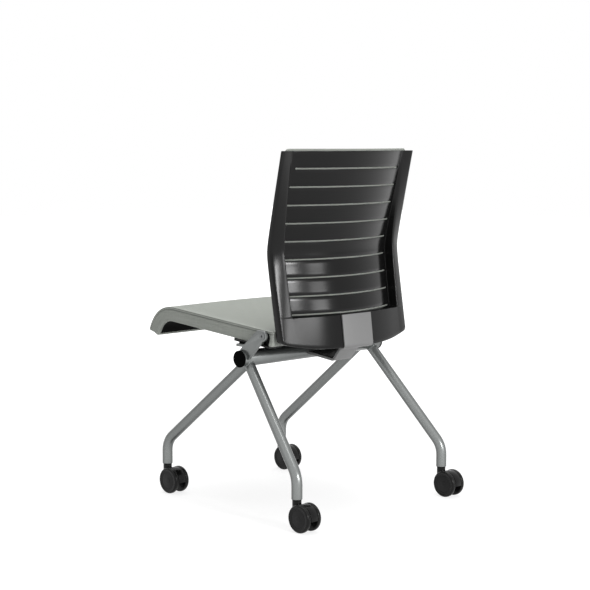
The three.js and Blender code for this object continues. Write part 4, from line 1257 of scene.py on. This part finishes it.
# The seam mark paints the groove darker: painted shade.
marked(back_pad, "painted_seam_shade", near)
charted(back_pad, lambda points, facing: np.column_stack([
    np.where(np.abs(facing[:, 0]) > STEEP, points[:, 1], points[:, 0]),
    np.where(np.abs(facing[:, 2]) > STEEP, points[:, 1], points[:, 2])]))


def surface_tree(piece):
    """A piece's surface, ready to be searched."""
    return BVHTree.FromPolygons([v.co for v in piece.data.vertices],
                                [p.vertices for p in piece.data.polygons])


def lifted_off(hits):
    """The places of hits on a surface, lifted off it by a little, in metres. Misses are left out."""
    return [tuple(spot + normal * STITCH_LIFT * MM) for spot, normal, _, _ in hits if spot is not None]


LINE_ROUND = 6


def pad_outline(inset):
    """A closed line round the pad's face, at a distance inside its outline, with round corners."""
    r = LINE_ROUND
    top, foot = PAD_TOP_Z - inset, PAD_FOOT_Z + inset
    side = [(pad_half(z) - inset, z) for z in np.linspace(foot + r, top - r, 90)]
    upper = [(side[-1][0] - r * (1 - math.cos(a)), top - r + r * math.sin(a))
             for a in np.linspace(0.2, math.pi / 2, 5)]
    lower = [(side[0][0] - r * (1 - math.cos(a)), foot + r - r * math.sin(a))
             for a in np.linspace(math.pi / 2, 0.2, 5)]
    half_loop = lower + side + upper
    across = np.linspace(1, -1, 60)[1:-1]
    loop = [(x, z) for x, z in half_loop] + [(upper[-1][0] * s, top) for s in across]
    loop += [(-x, z) for x, z in half_loop[::-1]] + [(-lower[0][0] * s, foot) for s in across]
    return [(x, 100, z) for x, z in loop]


RAY_START, RAY_LENGTH = 0.15, 0.4
to_rear = Vector((0, 1, 0))
pad_surface = surface_tree(back_pad)
pad_hits = [pad_surface.ray_cast(Vector(point) - to_rear * RAY_START, to_rear, RAY_LENGTH)
            for point in in_metres(pad_outline(PAD_SEAM_IN + STITCH_IN))]
pad_stitches = along("pad_stitches", [lifted_off(pad_hits)], "seat_fabric", closed=True, **STITCH)
dressed(pad_stitches, "seat_fabric", "frame", sharp=60)
dressed(back_pad, "seat_fabric", "frame", "back_pad", sharp=60)

# %% [markdown]
# ## The seat
# The seat is a slab of moulded foam on a nylon pan, pitched back by about five degrees, with a nose that
# bends down. It is drawn in its own frame: the pivot is zero, and its top line runs forward and over the
# nose. A point is told by three numbers: how far along that line, how far across, and how deep in the foam.

# %% The seat's own frame
SEAT_TILT = math.radians(5.12)
SEAT_TOP = 12.2
SEAT_THICK = 35
SEAT_HALF = 220
SEAT_REAR = 22.5
NOSE_START, NOSE_CORNER, NOSE_REACH, NOSE_DROP = 320, 388, 406.7, 65.6
NOSE_RIM = 4


def seat_line():
    """The top line in the side view, from the rear over the nose, with its running length."""
    flat = [(SEAT_REAR - t * (SEAT_REAR + NOSE_START), SEAT_TOP) for t in np.linspace(0, 0.99, 90)]
    a, b, c = (np.array(p) for p in ((-NOSE_START, SEAT_TOP), (-NOSE_CORNER, SEAT_TOP),
                                     (-NOSE_REACH, SEAT_TOP - NOSE_DROP)))
    nose = [(1 - t) ** 2 * a + 2 * t * (1 - t) * b + t * t * c for t in np.linspace(0, 1, 60)]
    nose.append(c + (c - b) / np.linalg.norm(c - b) * NOSE_RIM)
    line = np.array(flat + [tuple(p) for p in nose])
    lengths = np.concatenate([[0], np.cumsum(np.linalg.norm(np.diff(line, axis=0), axis=1))])
    return line, lengths


SEAT_LINE, SEAT_RUN = seat_line()
seat_heading = np.gradient(SEAT_LINE, SEAT_RUN, axis=0)
seat_heading /= np.linalg.norm(seat_heading, axis=1)[:, None]
SEAT_INWARD = np.column_stack([-seat_heading[:, 1], seat_heading[:, 0]])


def tilted(points):
    """From the seat's frame to the drawing."""
    x, y, z = np.array(points, float).reshape(-1, 3).T
    return np.column_stack([x, y * math.cos(SEAT_TILT) + z * math.sin(SEAT_TILT) + PIVOT_Y,
                            z * math.cos(SEAT_TILT) - y * math.sin(SEAT_TILT) + PIVOT_Z])


def seat_point(run, x, depth):
    """A point of the seat from its length along the line, its place across and its depth, in the drawing."""
    run, x, depth = np.broadcast_arrays(run, x, depth)
    y = np.interp(run, SEAT_RUN, SEAT_LINE[:, 0]) + np.interp(run, SEAT_RUN, SEAT_INWARD[:, 0]) * depth
    z = np.interp(run, SEAT_RUN, SEAT_LINE[:, 1]) + np.interp(run, SEAT_RUN, SEAT_INWARD[:, 1]) * depth
    return tilted(np.column_stack([x.ravel(), y.ravel(), z.ravel()]))


def seat_reading(points):
    """The reverse: the run and the depth of points in the drawing."""
    y = (points[:, 1] - PIVOT_Y) * math.cos(SEAT_TILT) - (points[:, 2] - PIVOT_Z) * math.sin(SEAT_TILT)
    z = (points[:, 2] - PIVOT_Z) * math.cos(SEAT_TILT) + (points[:, 1] - PIVOT_Y) * math.sin(SEAT_TILT)
    gaps = (y[:, None] - SEAT_LINE[:, 0]) ** 2 + (z[:, None] - SEAT_LINE[:, 1]) ** 2
    nearest = gaps.argmin(axis=1)
    off = np.column_stack([y, z]) - SEAT_LINE[nearest]
    ahead = (off * seat_heading[nearest]).sum(axis=1)
    return SEAT_RUN[nearest] + ahead, (off * SEAT_INWARD[nearest]).sum(axis=1)


print("the seat's top line runs", round(SEAT_RUN[-1], 1), "mm")

# %% [markdown]
# The form: rings across the seat, each a box with small round corners, a crowned top and sides that are
# drawn in. Rows of points run close together where the two seams are, so the seams stay crisp. They keep
# their place in the simulation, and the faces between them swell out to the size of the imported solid.

# %% Cushion form
SEAT_ROUND = 3.5
SEAT_CROWN = 4
SEAT_TUCK = 3
SEAM_DEPTHS = (1.6, 6.2)
SEAT_CAP = 2.5
SIDE_DEPTHS = (4.4, 5.2, 5.7, 6.2, 6.7, 7.4, 9, 12, 16, 20, 24, 28)
SEAT_HOLD_END, SEAT_HOLD_FADE = 20, 14
TOP_DEPTH, SEAM_MARGIN, SIDE_STRIP, FOOT_STRIP, END_STRIP = 3, 2.5, 6, 6, 3


def seat_section(run, drawn_in):
    """The points round one section: across the top, down the left side, back below and up the right."""
    half, low, high = SEAT_HALF - drawn_in, SEAT_THICK - drawn_in, drawn_in
    beyond = np.clip((run - NOSE_START - SEAT_REAR) / (SEAT_RUN[-1] - NOSE_START - SEAT_REAR), 0, 1)
    crown = (SEAT_CROWN - SEAT_CAP) * (1 - beyond)
    r = SEAT_ROUND
    turn = np.radians((0, 22, 40, 57, 74, 90))
    corner = [(half - r + r * math.sin(a), high + r - r * math.cos(a)) for a in turn]
    down = [(d - r) / (SEAT_THICK - 2 * r) for d in SIDE_DEPTHS]
    side = [(half - SEAT_TUCK * math.sin(math.pi * s), high + r + s * (low - high - 2 * r)) for s in down]
    lower = [(half - r + r * math.cos(a), low - r + r * math.sin(a)) for a in turn]
    across = np.linspace(1, -1, 59)[1:-1]
    top = [((half - r) * s, high - crown * (1 - s * s)) for s in across]
    foot = [((half - r) * -s, low) for s in across]
    right_side = corner + side + lower
    left_side = [(-x, d) for x, d in right_side]
    return top, left_side, foot, right_side[::-1]


def seat_ring(run, drawn_in):
    ring = np.array([point for part in seat_section(run, drawn_in) for point in part])
    return seat_point(run, ring[:, 0], ring[:, 1])


def wrapped(name, rings, ends):
    """A closed piece through whole rings. Ends gives the faces that close a ring, by the ring's points."""
    count = len(rings[0])
    last = (len(rings) - 1) * count
    faces = [face[::-1] for face in ends] + [tuple(last + i for i in face) for face in ends]
    return solid(name, np.vstack(rings), faces + ring_faces(len(rings), count))


def section_faces(section):
    """Faces over a section: quads from the top to the foot, and one face for each side's round."""
    top, left_side, foot, right_side = (len(part) for part in section)
    count = top + left_side + foot + right_side
    foot_end = top + left_side + foot - 1
    quads = [(i, i + 1, foot_end - i - 1, foot_end - i) for i in range(top - 1)]
    left = tuple(range(top - 1, top + left_side + 1))
    right = tuple(range(foot_end, count)) + (0,)
    return quads + [left, right]


seat_run = SEAT_RUN[-1]
seat_ends = [(SEAT_ROUND * (1 - math.cos(a)), SEAT_ROUND * (1 - math.sin(a)))
             for a in np.linspace(0, math.pi / 2, 4)]
seat_rings = [seat_ring(run, inset) for run, inset in seat_ends]
seat_rings += [seat_ring(run, 0) for run in np.linspace(SEAT_ROUND + 5, seat_run - SEAT_ROUND - 5, 74)]
seat_rings += [seat_ring(seat_run - run, inset) for run, inset in seat_ends[::-1]]
cushion = wrapped("seat_upholstery", seat_rings, section_faces(seat_section(seat_run / 2, 0)))
skin = points_of(cushion)
runs, depths = seat_reading(skin)
to_side = SEAT_HALF - np.abs(skin[:, 0])
to_end = np.minimum(runs, seat_run - runs)
hold = np.clip((SEAT_HOLD_END - np.minimum(to_side, to_end)) / SEAT_HOLD_FADE, 0, 1) * (depths < TOP_DEPTH)
hold += (depths < SEAM_DEPTHS[1] + SEAM_MARGIN) * (to_side < SIDE_STRIP)
hold += (depths > SEAT_THICK - FOOT_STRIP) + (to_end < END_STRIP)
blown_up(cushion, hold.clip(0, 1), cap=SEAT_CAP)
subdivided(cushion)

# %% [markdown]
# Under the cushion lies the pan, ten millimetres inside its outline, and at the rear corners the hinges need
# room. Both are cut out of the finished skin. The pan's room is a slab in the seat's own frame.

# %% Room for the pan and the hinges
PAN_THICK = 8
PAN_INSET = 10
PAN_NOSE_GAP = 2
NOTCH_REACH, NOTCH_RISE = 12.5, 10.4
NOTCH_X = 198
ROOM_BELOW, ROOM_BESIDE = 8, 12


def pan_room():
    half = SEAT_HALF - PAN_INSET + GAP
    curve_end = seat_run - NOSE_RIM
    end = curve_end - (curve_end - (NOSE_START + SEAT_REAR)) * PAN_NOSE_GAP / NOSE_DROP + GAP
    rings = [seat_point(run, np.array([-half, half, half, -half]), np.array(
        [SEAT_THICK - PAN_THICK - GAP] * 2 + [SEAT_THICK + ROOM_BELOW] * 2))
        for run in np.linspace(PAN_INSET - GAP, end, 50)]
    return wrapped("pan_room", rings, [(0, 1, 2, 3)])


carved(cushion, pan_room())
for side in (-1, 1):
    low_x, high_x = sorted((side * NOTCH_X, side * (SEAT_HALF + ROOM_BESIDE)))
    arc = [(NOTCH_REACH * math.cos(a), NOTCH_RISE * math.sin(a)) for a in np.linspace(0, math.pi, 17)]
    outline = arc + [(-NOTCH_REACH, -SEAT_THICK - ROOM_BELOW), (NOTCH_REACH, -SEAT_THICK - ROOM_BELOW)]
    flat = tilted([(0, y, z) for y, z in outline])
    carved(cushion, side_slab("hinge_room", [(y, z) for _, y, z in flat], low_x, high_x))
print("the cushion has", len(cushion.data.polygons), "faces")

# %% [markdown]
# The cover's top is joined to its border along the top edge, with a second line of stitching below it. From a
# few steps away they are the two thin dark lines that run along the seat's edge to the rear. Their grooves
# are painted darker as shade, less so over the round nose.

# %% Seams and stitches of the seat
EDGE_SEAM_WIDTH, EDGE_SEAM_DEPTH = 0.6, 0.9
NOSE_SEAM_SHADE_FADE = 0.75
skin = points_of(cushion)
runs, depths = seat_reading(skin)
normals = read(cushion.data.vertices, "normal")
on_border = SEAT_HALF - np.abs(skin[:, 0]) < SEAT_ROUND + 0.5
near = sum(np.exp(-((depths - depth) / EDGE_SEAM_WIDTH) ** 2) for depth in SEAM_DEPTHS) * on_border
moved(cushion, skin - normals * near[:, None] * EDGE_SEAM_DEPTH)
round_nose = np.clip((runs - NOSE_START - SEAT_REAR) / NOSE_DROP, 0, 1)
# Painted shade in the seam grooves, faded over the nose.
marked(cushion, "painted_seam_shade", near * (1 - NOSE_SEAM_SHADE_FADE * round_nose))


def seat_chart(points, facing):
    runs, depths = seat_reading(points)
    on_side = np.abs(facing[:, 0]) > STEEP
    return np.column_stack([np.where(on_side, depths, points[:, 0]), runs])


charted(cushion, seat_chart)
seat_surface = surface_tree(cushion)
stretch = np.linspace(NOTCH_REACH + 4, seat_run - 8, 160)
lines = []
for side in (-1, 1):
    route = in_metres(seat_point(stretch, side * SEAT_HALF, SEAM_DEPTHS[1]))
    lines.append(lifted_off([seat_surface.find_nearest(Vector(point)) for point in route]))
seat_stitches = along("seat_stitches", lines, "seat_fabric", **STITCH)
dressed(seat_stitches, "seat_fabric", "seat", sharp=60)
dressed(cushion, "seat_fabric", "seat", "seat_cushion", sharp=60)

# %% [markdown]
# The pan is a black moulded board, and the brackets that carry the hinge barrels are pressed steel. Their
# nodes have their whole outline, so they are refined as the plates are. The bracket screws stay.

# %% Pan and brackets
pan = refined("seat_pan", "under_pan", rounding=1.0)
marked(pan, "matt", np.ones(len(pan.data.vertices)))
dressed(pan, "black_plastic", "seat", "seat_pan", sharp=30)
for word in ("left", "right"):
    bracket = refined(f"seat_bracket_{word}", f"hinge_bracket_{word}", rounding=0.7)
    # Their black finish is partly painted shade for the shade under the seat's rear.
    dressed(bracket, "black_paint", "seat", f"seat_bracket_{word}")

# %% [markdown]
# ## The casters
# Four twin-wheel casters, each with a hood between two wheels. A wheel is turned from one profile: a flat
# inner face, a tread with soft shoulders, a raised rim, and a dished outer face with a fine ring and a hub.

# %% Wheels
WHEEL_RADIUS = 31.75
WHEEL_INNER_X = 11.2
WHEEL_WIDTH = 11.3
TRAIL = 24.3
AXLE_BORE, BORE_DEPTH = 4.3, 6.5
HUB_RADIUS = 6.4
SHOULDER = 1.8
TREAD_DEPTH, TREAD_FADE = 1.6, 1.2
FEET = {end: sizes[1:3] for end, sizes in LEGS.items()}
outer_x = WHEEL_INNER_X + WHEEL_WIDTH
dish_x, ring_x, hub_x = outer_x - 1.6, outer_x - 2.1, outer_x - 1.1
rim_radius = WHEEL_RADIUS - 5
WHEEL_CORNERS = [
    (0, WHEEL_INNER_X + BORE_DEPTH), (AXLE_BORE, WHEEL_INNER_X + BORE_DEPTH), (AXLE_BORE, WHEEL_INNER_X),
    (WHEEL_RADIUS - SHOULDER, WHEEL_INNER_X), (WHEEL_RADIUS, WHEEL_INNER_X + SHOULDER),
    (WHEEL_RADIUS, outer_x - 3.6), (WHEEL_RADIUS - SHOULDER, outer_x - 0.9), (rim_radius, outer_x),
    (rim_radius - 1.6, dish_x), (rim_radius - 6, dish_x), (rim_radius - 6.4, ring_x),
    (rim_radius - 7.2, ring_x), (rim_radius - 7.6, dish_x), (7, dish_x), (HUB_RADIUS, hub_x), (0, hub_x)]
WHEEL_ROUNDING = [0, 0.3, 0.4, 1.2, 1.2, 1.4, 1.2, 0.8, 0.6, 0.2, 0.2, 0.2, 0.2, 0.3, 0.4, 0]
wheel_profile = rounded(WHEEL_CORNERS, WHEEL_ROUNDING, steps=3)
for end, (foot_x, foot_y) in FEET.items():
    for side, word in SIDES:
        for letter, way in (("a", 1), ("b", -1)):
            centre = (side * foot_x, foot_y + TRAIL, WHEEL_RADIUS)
            wheel = turned(f"twin_wheel_{end}_{word}_{letter}", [(r, way * h) for r, h in wheel_profile],
                           64, "x", centre)
            away = points_of(wheel) - centre
            radius = np.hypot(away[:, 1], away[:, 2])
            marked(wheel, "tread", np.clip((radius - WHEEL_RADIUS + TREAD_DEPTH) / TREAD_FADE, 0, 1))
            node = f"wheel_{end}_{word}_{letter}"
            dressed(wheel, "wheel_plastic", node, node, sharp=40)

# %% [markdown]
# The hood is one moulding: a curved skin over the wheels' inner halves, a web, a boss for the axle and a neck
# for the stem. The socket below each leg is a turned collar. The stems and axles stay as packed.

# %% Hoods and collars
SOCKET_RADIUS = 11.1
SOCKET_FLANGE = 1.8
SOCKET_LENGTH = 21
STEM_BORE = 5.8
sleeve = LEG_RADIUS - LEG_WALL - 0.5
shoulder_z, socket_end_z = LEG_FOOT_Z - GAP, LEG_FOOT_Z + SOCKET_LENGTH
flange_z = shoulder_z - SOCKET_FLANGE
collar_profile = rounded([
    (STEM_BORE, flange_z), (SOCKET_RADIUS, flange_z), (SOCKET_RADIUS, shoulder_z), (sleeve, shoulder_z),
    (sleeve, socket_end_z), (STEM_BORE, socket_end_z)], 0.4, steps=3, closed=True)
for end, (foot_x, foot_y) in FEET.items():
    for side, word in SIDES:
        place = f"{end}_{word}"
        hood = refined(f"caster_hood_{place}", f"twin_hood_{place}", rounding=0.6, angle=25)
        dressed(hood, "black_plastic", f"caster_{place}", f"caster_hood_{place}", sharp=30)
        collar = turned(f"foot_collar_{place}", collar_profile, 48, "z", (side * foot_x, foot_y, 0))
        dressed(collar, "black_plastic", "frame", f"caster_socket_{place}")

# %% [markdown]
# ## The studio
# The chair stands on a white floor that has no visible end. For the camera, floor and background are white
# by their own light, and only part of the floor's brightness is its lit colour, so the shadows under the
# casters stay pale and soft, as on a lit table. The chair itself is lit by the world and five soft lamps.

# %% Floor
FLOOR_REACH = 12.0
NEAR_OWN_LIGHT = 0.54
FLOOR_OWN_LIGHT = 1.46
OPEN_FROM, OPEN_AT = 0.7, 2.6


def background_rays(graph):
    """1 for the rays that show the background: those of the camera, of reflections and of refractions."""
    seen = [graph.add("ShaderNodeLightPath", output=f"Is {kind} Ray") for kind in (
        "Camera", "Glossy", "Transmission")]
    return graph.math("MINIMUM", seen[0] + seen[1] + seen[2], 1.0)


def make_floor():
    floor_mesh = bpy.data.meshes.new("floor")
    r = FLOOR_REACH
    floor_mesh.from_pydata([(-r, -r, 0), (r, -r, 0), (r, r, 0), (-r, r, 0)], [], [(0, 1, 2, 3)])
    paper = Finish("floor_paper")
    distance = paper.add("ShaderNodeVectorMath", {"operation": "LENGTH"}, {0: paper.place}, output="Value")
    open_share = paper.between(paper.window(distance, OPEN_FROM, OPEN_AT), NEAR_OWN_LIGHT, 1.0)
    lit = paper.add("ShaderNodeBsdfDiffuse", {}, {"Color": grey(225)})
    own = paper.add("ShaderNodeEmission", {}, {"Color": (1, 1, 1, 1), "Strength": FLOOR_OWN_LIGHT})
    both = paper.add("ShaderNodeMixShader", {}, {0: background_rays(paper) * open_share, 1: lit, 2: own})
    floor_mesh.materials.append(paper.ended(both))
    return new_piece("floor", floor_mesh)


make_floor()

# %% [markdown]
# Satin black plastic shows little colour of its own; what one sees are the lamps in it. Each panel bows, so
# its left part mirrors what stands straight behind the chair. A high softbox there brightens the left ends
# of the lower panels, and a low one beside it the band, whose face leans up towards it. A small lamp above
# the rear draws the bright line on the rear legs, and a weak one at the left fills the shade. The world is a
# dim even grey for the chair and plain white for the camera and for reflections.

# %% World and lamps
WORLD_LEVEL = 0.37


def make_world():
    world = bpy.data.worlds.new("studio")
    world.use_nodes = True
    air = Graph(world.node_tree)
    air.tree.nodes.clear()
    ambient = air.add("ShaderNodeBackground", {}, {"Color": (1, 1, 1, 1), "Strength": WORLD_LEVEL})
    white = air.add("ShaderNodeBackground", {}, {"Color": (1, 1, 1, 1), "Strength": 1.0})
    both = air.add("ShaderNodeMixShader", {}, {0: background_rays(air), 1: ambient, 2: white})
    air.add("ShaderNodeOutputWorld", {}, {"Surface": both})
    bpy.context.scene.world = world


def soft_lamp(name, place, target, size, height, power):
    """A rectangular lamp at a place, turned to a target, with its sizes in metres and its power in watts."""
    data = bpy.data.lights.new(name, "AREA")
    data.shape, data.size, data.size_y, data.energy = "RECTANGLE", size, height, power
    lamp = bpy.data.objects.new(name, data)
    lamp.location = place
    lamp.rotation_euler = (Vector(target) - Vector(place)).to_track_quat("-Z", "Y").to_euler()
    bpy.context.scene.collection.objects.link(lamp)
    print("lamp", name, "at", place)


make_world()
soft_lamp("overhead", (-0.4, -0.5, 3.0), (0, 0, 0.3), 2.4, 2.4, 56)
soft_lamp("overhead_rear", (0.5, 1.3, 3.0), (0, 0, 0.3), 0.8, 0.8, 7)
soft_lamp("softbox_high", (0.34, 3.1, 1.2), (0.1, 0, 0.55), 0.44, 0.45, 38)
soft_lamp("softbox_low", (-0.75, 3.1, 0.86), (0.1, 0, 0.45), 0.7, 0.22, 11)
soft_lamp("left_fill", (3.3, -0.6, 1.3), (0, 0, 0.4), 2.0, 1.6, 2.5)
bpy.context.scene.view_settings.view_transform = "Standard"
